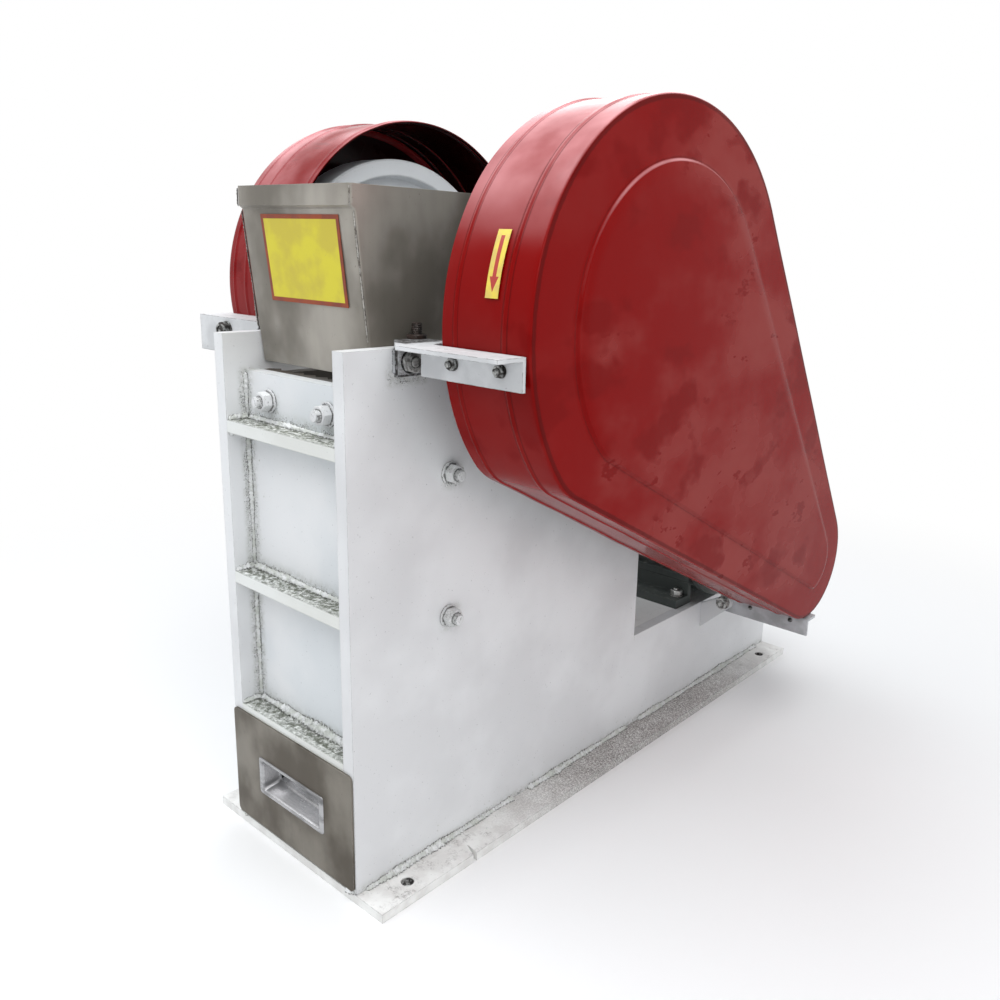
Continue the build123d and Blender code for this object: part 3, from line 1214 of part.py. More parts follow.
# Flush pull: a rim on the drawer front and a cup behind it
with BuildPart() as drawer_handle:
    with BuildSketch(front_plane(DRAWER_FRONT_DEPTH)):
        with Locations(HANDLE_MIDDLE):
            RectangleRounded(HANDLE_WIDTH, HANDLE_HEIGHT, HANDLE_CORNER_R)
    extrude(amount=HANDLE_RIM)
    with BuildSketch(front_plane(DRAWER_FRONT_DEPTH + HANDLE_DEPTH)):
        with Locations(HANDLE_MIDDLE):
            Rectangle(CUP_WIDTH - 2 * SEAT_GAP, CUP_HEIGHT - 2 * SEAT_GAP)
    extrude(amount=HANDLE_DEPTH)
    with BuildSketch(front_plane(DRAWER_FRONT_DEPTH + HANDLE_DEPTH - HANDLE_RIM)):
        with Locations(HANDLE_MIDDLE):
            Rectangle(CUP_WIDTH - 2 * SEAT_GAP - 2 * HANDLE_RIM, CUP_HEIGHT - 2 * SEAT_GAP - 2 * HANDLE_RIM)
    extrude(amount=HANDLE_DEPTH, mode=Mode.SUBTRACT)
save(drawer_handle, "drawer_handle")
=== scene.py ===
"""Looks of a small jaw crusher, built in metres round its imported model."""

import logging
import math
from collections.abc import Iterator
from dataclasses import dataclass, field
from enum import Enum

import bmesh
import bpy
import numpy as np
from mathutils import Matrix


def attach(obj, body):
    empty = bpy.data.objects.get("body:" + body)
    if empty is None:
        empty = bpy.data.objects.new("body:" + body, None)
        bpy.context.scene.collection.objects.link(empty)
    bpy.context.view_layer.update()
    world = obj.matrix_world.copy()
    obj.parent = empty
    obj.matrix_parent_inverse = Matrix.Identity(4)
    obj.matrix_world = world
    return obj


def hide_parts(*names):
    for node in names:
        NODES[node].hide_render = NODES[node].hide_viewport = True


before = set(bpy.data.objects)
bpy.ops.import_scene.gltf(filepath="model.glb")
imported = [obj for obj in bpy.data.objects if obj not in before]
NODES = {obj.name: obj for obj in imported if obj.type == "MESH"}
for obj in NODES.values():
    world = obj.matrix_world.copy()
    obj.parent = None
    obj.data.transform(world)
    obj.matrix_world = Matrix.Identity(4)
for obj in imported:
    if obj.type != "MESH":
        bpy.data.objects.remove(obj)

Array = np.ndarray
Pair = tuple[float, float]
Point = tuple[float, float, float]
Colour = tuple[float, float, float]
Socket = bpy.types.NodeSocket
Tree = bpy.types.NodeTree
Material = bpy.types.Material

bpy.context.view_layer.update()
LOG = logging.getLogger("jaw_crusher")
# Attribute of painted shade and dirt in inner corners.
SHADE_AND_DIRT = "shade_and_dirt"

# Places that the pieces share: a depth runs back from the side plates' front edges, and a
# height up from the top of the base plate.
FRONT_Y = -0.435
BASE_TOP = 0.010
SHAFT = (0.281, 0.582)
SHEET = 0.002
PLATE_X = 0.1085
INNER_X = 0.0925
WALL = 0.025
RIBS = (0.457, 0.290, 0.132)
RIB = 0.013
CHEEK_BOLTS = ((0.130, 0.428), (0.128, 0.272))
ANCHOR_X = 0.130
ANCHOR_DEPTHS = (0.050, 0.820)

UP, DOWN = (0.0, 0.0, 1.0), (0.0, 0.0, -1.0)
FRONT, BACK = (0.0, -1.0, 0.0), (0.0, 1.0, 0.0)
RIGHT, LEFT = (1.0, 0.0, 0.0), (-1.0, 0.0, 0.0)


def spot(x: Array | float, depth: Array | float, height: Array | float) -> Array:
    """Point in space of an X, a depth and a height, or a grid of points of three arrays."""
    return np.stack(np.broadcast_arrays(x, FRONT_Y + depth, BASE_TOP + height), -1)


class Body(str, Enum):
    """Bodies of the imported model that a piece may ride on."""

    FRAME = "frame"
    ROTOR = "rotor"
    DRAWER = "drawer"


class Kind(str, Enum):
    """Kinds of socket that a shader node group has."""

    FLOAT = "NodeSocketFloat"
    COLOUR = "NodeSocketColor"
    VECTOR = "NodeSocketVector"


class NodeDesk:
    """Node tree being laid out, with the place that its patterns are read at."""

    place: Socket

    def __init__(self, tree: Tree) -> None:
        """Starts on an existing tree."""
        self.tree = tree

    def add(
        self, kind: str, settings: dict[str, object] | None = None, numbered: dict[int, object] | None = None,
        **values: object,
    ) -> bpy.types.Node:
        """Adds one node.

        Args:
            kind: Blender's name of the node type.
            settings: Properties of the node by name.
            numbered: Sockets by number; a socket is linked, a value is set.
            **values: Sockets by name, an underscore for each space.

        Returns:
            The new node.
        """
        node = self.tree.nodes.new(kind)
        for name, setting in (settings or {}).items():
            setattr(node, name, setting)
        sockets = {name.replace("_", " "): value for name, value in values.items()}
        for key, value in {**(numbered or {}), **sockets}.items():
            self.feed(node.inputs[key], value)
        return node

    def feed(self, socket: Socket, value: object) -> None:
        """Links a socket, or sets its value; a colour of three numbers gets an alpha of one.

        Args:
            socket: Input of a node.
            value: Socket, number, vector or colour for it.
        """
        if isinstance(value, Socket):
            self.tree.links.new(value, socket)
        elif socket.type == "RGBA" and len(value) == 3:
            socket.default_value = (*value, 1.0)
        else:
            socket.default_value = value

    def group(self, tree: Tree, **values: object) -> bpy.types.NodeOutputs:
        """Outputs of a placed node group, read at the desk's own place unless it is given another."""
        return self.add("ShaderNodeGroup", {"node_tree": tree}, **{"Place": self.place, **values}).outputs

    def math(self, operation: str, first: object, *rest: object) -> Socket:
        """Result of a math operation on numbers or sockets, two at a time from the left.

        Args:
            operation: Blender's name of the operation.
            first: First number or socket.
            *rest: The others, or none where the operation takes one.

        Returns:
            The last result.
        """
        for value in rest or (0.0,):
            first = self.add("ShaderNodeMath", {"operation": operation}, {0: first, 1: value}).outputs[0]
        return first

    def times(self, *factors: object) -> Socket:
        """Product of numbers or sockets."""
        return self.math("MULTIPLY", *factors)

    def plus(self, *terms: object) -> Socket:
        """Sum of numbers or sockets."""
        return self.math("ADD", *terms)

    def minus(self, first: object, second: object) -> Socket:
        """Difference of two numbers or sockets."""
        return self.math("SUBTRACT", first, second)

    def most(self, first: object, *rest: object) -> Socket:
        """Greatest of numbers or sockets."""
        return self.math("MAXIMUM", first, *rest) if rest else first

    def vector(self, operation: str, first: object, second: object = (0.0, 0.0, 0.0)) -> Socket:
        """Result of a vector math operation; a length or a dot product is a number."""
        node = self.add("ShaderNodeVectorMath", {"operation": operation}, {0: first, 1: second})
        return node.outputs["Value" if operation in ("LENGTH", "DOT_PRODUCT") else "Vector"]

    def axes(self, vector: Socket) -> list[Socket]:
        """X, Y and Z of a vector."""
        return list(self.add("ShaderNodeSeparateXYZ", Vector=vector).outputs)

    def join(self, x: object, y: object, z: object) -> Socket:
        """Vector of three numbers or sockets."""
        return self.add("ShaderNodeCombineXYZ", X=x, Y=y, Z=z).outputs[0]

    def mix(self, share: object, first: object, second: object, way: str = "MIX") -> Socket:
        """Colour between two colours, at a share of the second."""
        settings = {"data_type": "RGBA", "blend_type": way}
        return self.add("ShaderNodeMix", settings, {0: share, 6: first, 7: second}).outputs[2]

    def blend(self, share: object, first: object, second: object) -> Socket:
        """Number between two numbers, at a share of the second."""
        return self.add("ShaderNodeMix", {"data_type": "FLOAT"}, {0: share, 2: first, 3: second}).outputs[0]

    def ramp(self, value: object, low: object, high: object) -> Socket:
        """Smooth step of a value from 0 at a low mark to 1 at a high mark."""
        settings = {"interpolation_type": "SMOOTHSTEP"}
        return self.add("ShaderNodeMapRange", settings, Value=value, From_Min=low, From_Max=high).outputs["Result"]

    def noise(self, scale: object, detail: float = 3.0, rough: object = 0.55, place: Socket | None = None) -> Socket:
        """Grey value of a noise texture, at the desk's own place unless it is given another."""
        where = self.place if place is None else place
        return self.add("ShaderNodeTexNoise", Vector=where, Scale=scale, Detail=detail, Roughness=rough).outputs[0]


class Effect(NodeDesk):
    """Shader node group being made, with named inputs and outputs and a place as its first input."""

    def __init__(self, name: str) -> None:
        """Starts a group.

        Args:
            name: The group's name.
        """
        super().__init__(bpy.data.node_groups.new(name, "ShaderNodeTree"))
        self.entry = self.tree.nodes.new("NodeGroupInput")
        self.exit = self.tree.nodes.new("NodeGroupOutput")
        self.place, = self.takes(Kind.VECTOR, Place=None)

    def takes(self, kind: Kind, **starts: object) -> list[Socket]:
        """Adds inputs.

        Args:
            kind: Kind of the sockets.
            **starts: Start value of each by name, an underscore for each space, or None.

        Returns:
            The sockets that carry the inputs inside the group.
        """
        names = [name.replace("_", " ") for name in starts]
        for name, start in zip(names, starts.values()):
            socket = self.tree.interface.new_socket(name=name, in_out="INPUT", socket_type=kind.value)
            if start is not None:
                socket.default_value = start
        return [self.entry.outputs[name] for name in names]

    def gives(self, kind: Kind, **sources: Socket) -> None:
        """Adds outputs of a kind, each linked to what it gives.

        Args:
            kind: Kind of the sockets.
            **sources: What each gives, by name.
        """
        for name, source in sources.items():
            self.tree.interface.new_socket(name=name, in_out="OUTPUT", socket_type=kind.value)
            self.tree.links.new(source, self.exit.inputs[name])


def build_clouds() -> Tree:
    """Group that mixes two colours in soft clouds.

    Returns:
        The group; its mask is the share of the second colour.
    """
    effect = Effect("clouds")
    scale, share = effect.takes(Kind.FLOAT, Scale=8.0, Share=0.5)
    first, second = effect.takes(Kind.COLOUR, First=None, Second=None)
    middle = effect.minus(0.7, effect.times(share, 0.4))
    mask = effect.ramp(effect.noise(scale, 4.0, 0.5), effect.minus(middle, 0.12), effect.plus(middle, 0.12))
    effect.gives(Kind.COLOUR, Colour=effect.mix(mask, first, second))
    effect.gives(Kind.FLOAT, Mask=mask)
    return effect.tree


def build_speckle() -> Tree:
    """Group of fine broken dots in clusters, denser where a cover value is higher.

    Returns:
        The group; its mask is 1 on the dots and its height is a rough grain.
    """
    effect = Effect("speckle")
    scale, cover = effect.takes(Kind.FLOAT, Scale=300.0, Cover=0.3)
    grain = effect.noise(scale, 4.0, 0.75)
    sparse = effect.ramp(effect.noise(effect.times(scale, 0.09), 3.0, 0.6), 0.62, 0.40)
    limit = effect.plus(effect.minus(0.68, effect.times(cover, 0.17)), effect.times(sparse, 0.08))
    effect.gives(Kind.FLOAT, Mask=effect.ramp(grain, limit, effect.plus(limit, 0.06)), Height=grain)
    return effect.tree


def build_brushing() -> Tree:
    """Group of long fine lines, from a noise that is stretched along one direction.

    Returns:
        The group; its height and tone follow the lines.
    """
    effect = Effect("brushing")
    stretch, = effect.takes(Kind.VECTOR, Stretch=(900.0, 900.0, 12.0))
    squeezed = effect.vector("MULTIPLY", effect.place, stretch)
    broad = effect.vector("MULTIPLY", squeezed, (0.06, 0.06, 0.06))
    effect.gives(Kind.FLOAT, Height=effect.noise(1.0, 2.0, 0.5, squeezed), Tone=effect.noise(1.0, 3.0, 0.6, broad))
    return effect.tree


def build_edge_wear() -> Tree:
    """Group that finds the edges of a piece and breaks them up as wear does.

    Returns:
        The group; its mask is 1 on worn edges, and its normal is softened at every edge.
    """
    effect = Effect("edge_wear")
    share, radius = effect.takes(Kind.FLOAT, Share=0.5, Radius=0.0012)
    round_off = effect.add("ShaderNodeBevel", {"samples": 4}, Radius=radius).outputs[0]
    flat = effect.add("ShaderNodeNewGeometry").outputs["Normal"]
    edge = effect.ramp(effect.vector("DOT_PRODUCT", round_off, flat), 0.995, 0.9)
    broken = effect.ramp(effect.noise(120.0, 4.0, 0.65), 0.62, 0.42)
    effect.gives(Kind.FLOAT, Mask=effect.times(edge, broken, share))
    effect.gives(Kind.VECTOR, Normal=round_off)
    return effect.tree


def build_settled_dust_and_highlight() -> Tree:
    """Group for what settles on faces that look up, such as dust and grit; on the red enamel it also places a painted
    highlight.

    Returns:
        The group; its mask is 1 where the dust lies thickest, and on the enamel where the painted highlight is
        brightest.
    """
    effect = Effect("settled")
    scale, cover, least, most, ragged = effect.takes(
        Kind.FLOAT, Scale=60.0, Cover=0.5, Least_Slope=0.6, Most_Slope=0.95, Ragged=0.65
    )
    up = effect.axes(effect.add("ShaderNodeNewGeometry").outputs["Normal"])[2]
    patches = effect.ramp(effect.noise(scale, 5.0, ragged), effect.minus(0.8, cover), 0.8)
    effect.gives(Kind.FLOAT, Mask=effect.times(effect.ramp(up, least, most), patches))
    return effect.tree


def build_shade_and_dirt() -> Tree:
    """Group for the painted shade and dirt in a piece's inner corners, read from its own attribute and broken up by a
    noise.

    Returns:
        The group; its mask is 1 where the painted shade and dirt lie.
    """
    effect = Effect("shade_and_dirt")
    scale, crumble = effect.takes(Kind.FLOAT, Scale=420.0, Crumble=2.0)
    corner = effect.add("ShaderNodeAttribute", {"attribute_name": SHADE_AND_DIRT}).outputs["Fac"]
    broken = effect.times(effect.minus(effect.noise(scale, 3.0, 0.6), 0.5), crumble)
    effect.gives(Kind.FLOAT, Mask=effect.ramp(effect.plus(corner, broken), 0.32, 0.66))
    return effect.tree


def build_zone() -> Tree:
    """Group for a stretch of space with soft bounds.

    Returns:
        The group; its mask is 1 inside the box and falls to 0 over the fade outside it.
    """
    effect = Effect("zone")
    centre, half = effect.takes(Kind.VECTOR, Centre=None, Half_Size=None)
    fade, = effect.takes(Kind.FLOAT, Fade=0.01)
    away = effect.vector("ABSOLUTE", effect.vector("SUBTRACT", effect.place, centre))
    beyond = effect.vector("MAXIMUM", effect.vector("SUBTRACT", away, half))
    effect.gives(Kind.FLOAT, Mask=effect.ramp(effect.vector("LENGTH", beyond), fade, 0.0))
    return effect.tree


CLOUDS = build_clouds()
SPECKLE = build_speckle()
BRUSHING = build_brushing()
EDGE_WEAR = build_edge_wear()
SETTLED_DUST_AND_HIGHLIGHT = build_settled_dust_and_highlight()
SHADE_AND_DIRT_MASK = build_shade_and_dirt()
ZONE = build_zone()


@dataclass(frozen=True)
class Zone:
    """Stretch of a piece that is rougher or dirtier, such as the strip beside a weld.

    Args:
        low: Lowest corner, as an X, a depth and a height.
        high: Highest corner.
        fade: Width over which it fades out.
    """

    low: Point
    high: Point
    fade: float

    def mask(self, desk: NodeDesk) -> Socket:
        """Mask of this zone on a desk.

        Args:
            desk: Tree that it is laid out on.

        Returns:
            Socket of the mask.
        """
        low, high = spot(*self.low), spot(*self.high)
        centre, half = tuple((low + high) / 2), tuple((high - low) / 2)
        return desk.group(ZONE, Centre=centre, Half_Size=half, Fade=self.fade)["Mask"]


class Surface(NodeDesk):
    """Material being laid out on Object coordinates."""

    def __init__(self, name: str) -> None:
        """Starts a material.

        Args:
            name: The material's name.
        """
        self.material = bpy.data.materials.new(name)
        self.material.use_nodes = True
        super().__init__(self.material.node_tree)
        self.shader = self.tree.nodes["Principled BSDF"]
        self.place = self.add("ShaderNodeTexCoord").outputs["Object"]

    def finish(
        self, colour: Socket, rough: Socket, height: Socket | None = None, normal: Socket | None = None,
        **constants: float,
    ) -> Material:
        """Feeds the Principled shader.

        Args:
            colour: Base colour.
            rough: Roughness.
            height: Height of the bump in metres.
            normal: Normal that the bump starts from.
            **constants: The shader's own sockets that are the same all over, an underscore for each space.

        Returns:
            The material.
        """
        self.feed(self.shader.inputs["Base Color"], colour)
        self.feed(self.shader.inputs["Roughness"], rough)
        if height is not None:
            start = {} if normal is None else {"Normal": normal}
            bump = self.add("ShaderNodeBump", Height=height, Distance=1.0, **start)
            self.feed(self.shader.inputs["Normal"], bump.outputs[0])
        for name, value in constants.items():
            self.shader.inputs[name.replace("_", " ")].default_value = value
        return self.material


WHITE = (0.80, 0.81, 0.82)
WHITE_SHADE = (0.70, 0.705, 0.715)
DARK_GRIT = (0.095, 0.095, 0.092)
BARE_STEEL = (0.30, 0.29, 0.28)
BRIGHT_EDGE = (0.62, 0.61, 0.59)
# Painted shade and dirt in the enamel's creases.
CREASE_SHADE_AND_DIRT = (0.070, 0.002, 0.002)
PALE_DUST = (0.30, 0.28, 0.20)
SCORCHED = (0.035, 0.031, 0.030)
# Grease and painted shade in the inner corners of bare metal.
GREASE_AND_SHADE = (0.035, 0.030, 0.027)
# Strength of grime dots, and of painted shade and dirt in inner corners.
GRIME_AND_SHADE_SHARE = 0.85


@dataclass(frozen=True)
class Paint:
    """Paint over steel, with clouds of tone, dust, dirt beside the welds, painted shade and dirt in inner corners, and
    worn edges.

    Args:
        name: The finish's name.
        colour: Main colour.
        shade: Colour of the clouds.
        dirt: Colour of dirt and grit, and of the painted shade in inner corners.
        bare: Colour under worn edges.
        roughness: Gloss of clean paint.
        grain: Stretch of the brush marks.
        relief: Depth of the brush marks in metres.
        cover: Share of settled dust on level faces.
        wear: Share of worn edges.
        zones: Stretches that are rough and dirty.
        cloud_scale: Clouds to a metre.
        smear: Colour of smeared dirt.
        smeared: Share of smeared dirt.
        patch_scale: Patches of smeared dirt to a metre.
        burnt: Stretches left without paint, scorched and dark.
    """

    name: str
    colour: Colour
    shade: Colour
    dirt: Colour = DARK_GRIT
    bare: Colour = BARE_STEEL
    roughness: float = 0.45
    grain: Point = (260.0, 260.0, 30.0)
    relief: float = 0.00006
    cover: float = 0.3
    wear: float = 0.4
    zones: tuple[Zone, ...] = ()
    cloud_scale: float = 6.0
    smear: Colour = (0.46, 0.47, 0.43)
    smeared: float = 0.5
    patch_scale: float = 110.0
    burnt: tuple[Zone, ...] = ()

    def material(self) -> Material:
        """Builds the finish.

        Returns:
            The material.
        """
        desk = Surface(self.name)
        tone = desk.group(CLOUDS, Scale=self.cloud_scale, First=self.colour, Second=self.shade)
        cover = desk.most(desk.group(SETTLED_DUST_AND_HIGHLIGHT, Cover=self.cover)["Mask"], *(zone.mask(desk) for zone in self.zones))
        patches = desk.ramp(desk.noise(self.patch_scale, 8.0, 0.75), 0.38, 0.58)
        colour = desk.mix(desk.times(cover, patches, self.smeared), tone["Colour"], self.smear)
        speckle = desk.group(SPECKLE, Scale=620.0, Cover=cover)
        # Grime dots, then painted shade and dirt in the inner corners.
        grime_and_shade = desk.times(speckle["Mask"], desk.ramp(cover, 0.0, 0.5))
        grime_and_shade = desk.times(desk.most(grime_and_shade, desk.group(SHADE_AND_DIRT_MASK)["Mask"]), GRIME_AND_SHADE_SHARE)
        colour = desk.mix(grime_and_shade, colour, self.dirt)
        if self.burnt:
            scorch = desk.most(*(zone.mask(desk) for zone in self.burnt))
            left = desk.ramp(desk.noise(190.0, 5.0, 0.7), 0.60, 0.48)
            colour = desk.mix(desk.times(scorch, desk.blend(left, 0.45, 1.0)), colour, SCORCHED)
        worn = desk.group(EDGE_WEAR, Share=self.wear)
        colour = desk.mix(worn["Mask"], colour, self.bare)
        marks = desk.times(desk.group(BRUSHING, Stretch=self.grain)["Height"], self.relief)
        lumps = desk.times(desk.noise(45.0), self.relief * 4)
        grit = desk.times(speckle["Height"], cover, 0.0006)
        rough = desk.blend(cover, desk.blend(tone["Mask"], self.roughness, self.roughness + 0.12), 0.8)
        return desk.finish(colour, rough, desk.plus(marks, lumps, grit), worn["Normal"])


@dataclass(frozen=True)
class Metal:
    """Bare metal with brushed lines or a cast grain, stains, grease and painted shade in its inner corners, and worn
    edges.

    Args:
        name: The finish's name.
        colour: Main colour.
        stain: Colour of stains; on the stainless sheets also of painted reflection.
        roughness: Mean roughness.
        grain: Stretch of the lines.
        relief: Depth of the lines in metres.
        metallic: 1 for clean metal, less under a film of oxide.
        stains: Share of the surface in that colour.
        stain_scale: Clouds of that colour to a metre.
        spin: Length of the reflection's stretch, 0 to 1.
        drift: Squeeze of the stains along each axis.
        tones: How far the lines' tone swings.
    """

    name: str
    colour: Colour
    stain: Colour
    roughness: float = 0.3
    grain: Point = (900.0, 900.0, 14.0)
    relief: float = 0.00001
    metallic: float = 1.0
    stains: float = 0.4
    stain_scale: float = 9.0
    spin: float = 0.0
    drift: Point = (1.0, 1.0, 1.0)
    tones: float = 0.22

    def material(self) -> Material:
        """Builds the finish.

        Returns:
            The material.
        """
        desk = Surface(self.name)
        tone = desk.group(
            CLOUDS, Place=desk.vector("MULTIPLY", desk.place, self.drift), Scale=self.stain_scale,
            Share=self.stains, First=self.colour, Second=self.stain,
        )
        brush = desk.group(BRUSHING, Stretch=self.grain)
        lines = desk.blend(brush["Tone"], 1.0 - self.tones, 1.0 + self.tones)
        lined = desk.mix(0.8, tone["Colour"], desk.join(lines, lines, lines), "MULTIPLY")
        worn = desk.group(EDGE_WEAR, Share=0.3, Radius=0.0008)
        colour = desk.mix(worn["Mask"], lined, BRIGHT_EDGE)
        # Grease and painted shade in the inner corners.
        colour = desk.mix(desk.times(desk.group(SHADE_AND_DIRT_MASK)["Mask"], GRIME_AND_SHADE_SHARE), colour, GREASE_AND_SHADE)
        rough = desk.blend(brush["Height"], self.roughness - 0.07, self.roughness + 0.09)
        return desk.finish(
            colour, desk.blend(tone["Mask"], rough, self.roughness + 0.16),
            desk.times(brush["Height"], self.relief), worn["Normal"], Metallic=self.metallic, Anisotropic=self.spin,
        )


@dataclass(frozen=True)
class Enamel:
    """Gloss red enamel: a dusty film in clouds, wiped patches and strokes, pale dust and a painted highlight on what
    looks up, painted shade and dirt in the creases, and painted shade inside.

    Args:
        name: The finish's name.
        colour: Clean enamel.
        film: Enamel under its dusty film.
        deep: Darker enamel in the wiped patches.
        dust: Pale colour on what looks up, for dust and a painted highlight.
        cover: Share of that dust and painted highlight.
        gloss: Strength of the plain reflection.
        film_share: Share of the film.
        hazy: Stretches where the film lies thicker.
        inside_shade: Near-black colour of the painted shade on the inside.
        lined: Where the painted shade of the inside lies: a radius about an axle level with X, and the X that it lies
            beyond.
        axle: Depth and height of that axle.
        roughness: Gloss where it is wiped.
        dusty: Gloss where the film lies.
    """

    name: str
    colour: Colour
    film: Colour
    deep: Colour
    dust: Colour
    cover: float
    gloss: float
    film_share: float = 0.5
    hazy: tuple[Zone, ...] = ()
    inside_shade: Colour = (0.0, 0.0, 0.0)
    lined: tuple[Pair, ...] = ()
    axle: Pair = SHAFT
    roughness: float = 0.16
    dusty: float = 0.34

    def inside(self, desk: Surface) -> Socket:
        """Mask of the inside, where shade is painted, by the distance from the axle and the X.

        Args:
            desk: Tree that it is laid out on.

        Returns:
            Socket that is 1 on the inside and 0 elsewhere.
        """
        x, y, z = desk.axes(desk.place)
        back, up = desk.minus(y, FRONT_Y + self.axle[0]), desk.minus(z, BASE_TOP + self.axle[1])
        reach = desk.vector("LENGTH", desk.join(0.0, back, up))
        return desk.most(*(
            desk.times(desk.math("LESS_THAN", reach, radius), desk.math("GREATER_THAN", x, beyond))
            for radius, beyond in self.lined
        ))

    def material(self) -> Material:
        """Builds the finish.

        Returns:
            The material.
        """
        desk = Surface(self.name)
        streaked = desk.vector("MULTIPLY", desk.place, (1.0, 0.7, 1.0))
        film = desk.group(CLOUDS, Place=streaked, Scale=9.0, Share=self.film_share)["Mask"]
        if self.hazy:
            film = desk.times(film, desk.blend(desk.most(*(zone.mask(desk) for zone in self.hazy)), 0.2, 1.0))
        colour = desk.mix(film, self.colour, self.film)
        patches = desk.ramp(desk.noise(17.0, 3.0, 0.5, streaked), 0.54, 0.64)
        strokes = desk.vector("MULTIPLY", desk.place, (9.0, 26.0, 52.0))
        strokes = desk.ramp(desk.noise(1.0, 3.0, 0.6, strokes), 0.62, 0.66)
        wiped = desk.most(patches, desk.times(strokes, desk.ramp(film, 0.2, 0.6)))
        colour = desk.mix(desk.times(wiped, 0.85), colour, self.deep)
        # Pale dust and a painted highlight on the faces that look up.
        settled = desk.group(SETTLED_DUST_AND_HIGHLIGHT, Scale=15.0, Cover=self.cover, Least_Slope=0.30, Most_Slope=0.88, Ragged=0.4)
        colour = desk.mix(desk.times(settled["Mask"], 0.9), colour, self.dust)
        # Painted shade and dirt beside the beads, up the pressed edge and at the panel's foot.
        crease_shade_and_dirt = desk.group(SHADE_AND_DIRT_MASK, Scale=90.0, Crumble=0.35)["Mask"]
        colour = desk.mix(desk.times(crease_shade_and_dirt, 0.6), colour, CREASE_SHADE_AND_DIRT)
        # Painted shade: the inside is coloured near black.
        if self.lined:
            colour = desk.mix(self.inside(desk), colour, self.inside_shade)
        rough = desk.blend(desk.times(film, desk.minus(1.0, wiped)), self.roughness, self.dusty)
        relief = desk.plus(desk.times(desk.noise(420.0), 0.00002), desk.times(desk.noise(17.0), 0.0006))
        return desk.finish(colour, rough, relief, Specular_IOR_Level=self.gloss)


@dataclass(frozen=True)
class Notice:
    """Bare notice foil: a plain yellow field in a red-brown border, faded in soft clouds.

    Args:
        name: The finish's name.
        centre: Middle of the plate, in X and height.
        half: Half its width and height.
        border: Width of the border.
        soft: Half width of the border's edge.
        tones: Scale and two colours of the clouds, of the field and of the border.
    """

    name: str = "notice_foil"
    centre: Pair = (0.0065, 0.637)
    half: Pair = (0.0625, 0.042)
    border: float = 0.0042
    soft: float = 0.0003
    tones: tuple[tuple[float, Colour, Colour], ...] = (
        (30.0, (0.70, 0.62, 0.05), (0.60, 0.50, 0.06)), (60.0, (0.30, 0.060, 0.022), (0.22, 0.050, 0.030)),
    )

    def material(self) -> Material:
        """Builds the finish.

        Returns:
            The material.
        """
        desk = Surface(self.name)
        x, _, z = desk.axes(desk.place)
        rim = desk.most(*(
            desk.ramp(desk.math("ABSOLUTE", desk.minus(axis, middle)), edge - self.soft, edge + self.soft)
            for axis, middle, edge in (
                (x, self.centre[0], self.half[0] - self.border),
                (z, self.centre[1] + BASE_TOP, self.half[1] - self.border),
            )
        ))
        field_tone, rim_tone = (
            desk.group(CLOUDS, Scale=scale, First=first, Second=second)["Colour"]
            for scale, first, second in self.tones
        )
        dust = desk.group(SPECKLE, Scale=500.0, Cover=0.35)
        colour = desk.mix(desk.times(dust["Mask"], 0.35), desk.mix(rim, field_tone, rim_tone), PALE_DUST)
        rough = desk.blend(dust["Height"], 0.32, 0.48)
        return desk.finish(colour, rough, desk.times(desk.noise(120.0), 0.0001), Specular_IOR_Level=0.25)


@dataclass(frozen=True)
class ArrowLabel:
    """Yellow label with a plain red arrow that points down.

    Args:
        name: The finish's name.
        centre: Middle of the label, in X and height.
        shaft: Half width of the arrow's shaft.
        head: Half width and height of its head.
        reach: Half length of the arrow.
    """

    name: str = "arrow_foil"
    centre: Pair = (0.2285, 0.6415)
    shaft: float = 0.0022
    head: Pair = (0.0052, 0.0130)
    reach: float = 0.0235

    def material(self) -> Material:
        """Builds the finish; the head's half width grows from its tip in step with the height over it.

        Returns:
            The material.
        """
        desk = Surface(self.name)
        x, _, z = desk.axes(desk.place)
        beside = desk.math("ABSOLUTE", desk.minus(x, self.centre[0]))
        up = desk.minus(z, self.centre[1] + BASE_TOP - self.reach)
        arrow = desk.most(*(
            desk.times(
                desk.math("GREATER_THAN", up, low), desk.math("LESS_THAN", up, high),
                desk.math("LESS_THAN", beside, half),
            )
            for low, high, half in (
                (0.0, self.head[1], desk.times(up, self.head[0] / self.head[1])),
                (self.head[1], 2 * self.reach, self.shaft),
            )
        ))
        tone = desk.group(CLOUDS, Scale=80.0, First=(0.78, 0.62, 0.08), Second=(0.66, 0.50, 0.12))
        colour = desk.mix(arrow, tone["Colour"], (0.42, 0.035, 0.025))
        return desk.finish(colour, desk.blend(desk.noise(300.0), 0.28, 0.42))


# Rough strips on the side plates: along the base plate, beside the front wall and round the bolts.
PLATE_ZONES = (
    Zone((-0.15, 0.0, 0.0), (0.15, 0.87, 0.001), 0.013),
    *(Zone((side * INNER_X - 0.001, 0.019, 0.13), (side * INNER_X + 0.001, 0.030, 0.52), 0.007) for side in (-1, 1)),
    *(
        Zone((-0.12, depth - 0.004, height - 0.010), (0.12, depth + 0.010, height + 0.004), 0.013)
        for depth, height in CHEEK_BOLTS
    ),
    Zone((0.10, 0.052, 0.528), (0.12, 0.095, 0.54), 0.008),
)

# Rough strips on the front wall: down both sides, along the top of each rib and round the bolts.
WALL_ZONES = (
    *(Zone((x, 0.02, 0.13), (x + 0.005, 0.045, 0.52), 0.012) for x in (-0.092, 0.087)),
    *(Zone((-0.09, 0.02, height), (0.09, 0.045, height + 0.004), 0.014) for height in (0.145, 0.303, 0.470)),
    *(Zone((x - 0.006, 0.02, 0.484), (x + 0.010, 0.03, 0.496), 0.012) for x in (-0.05, 0.05)),
)

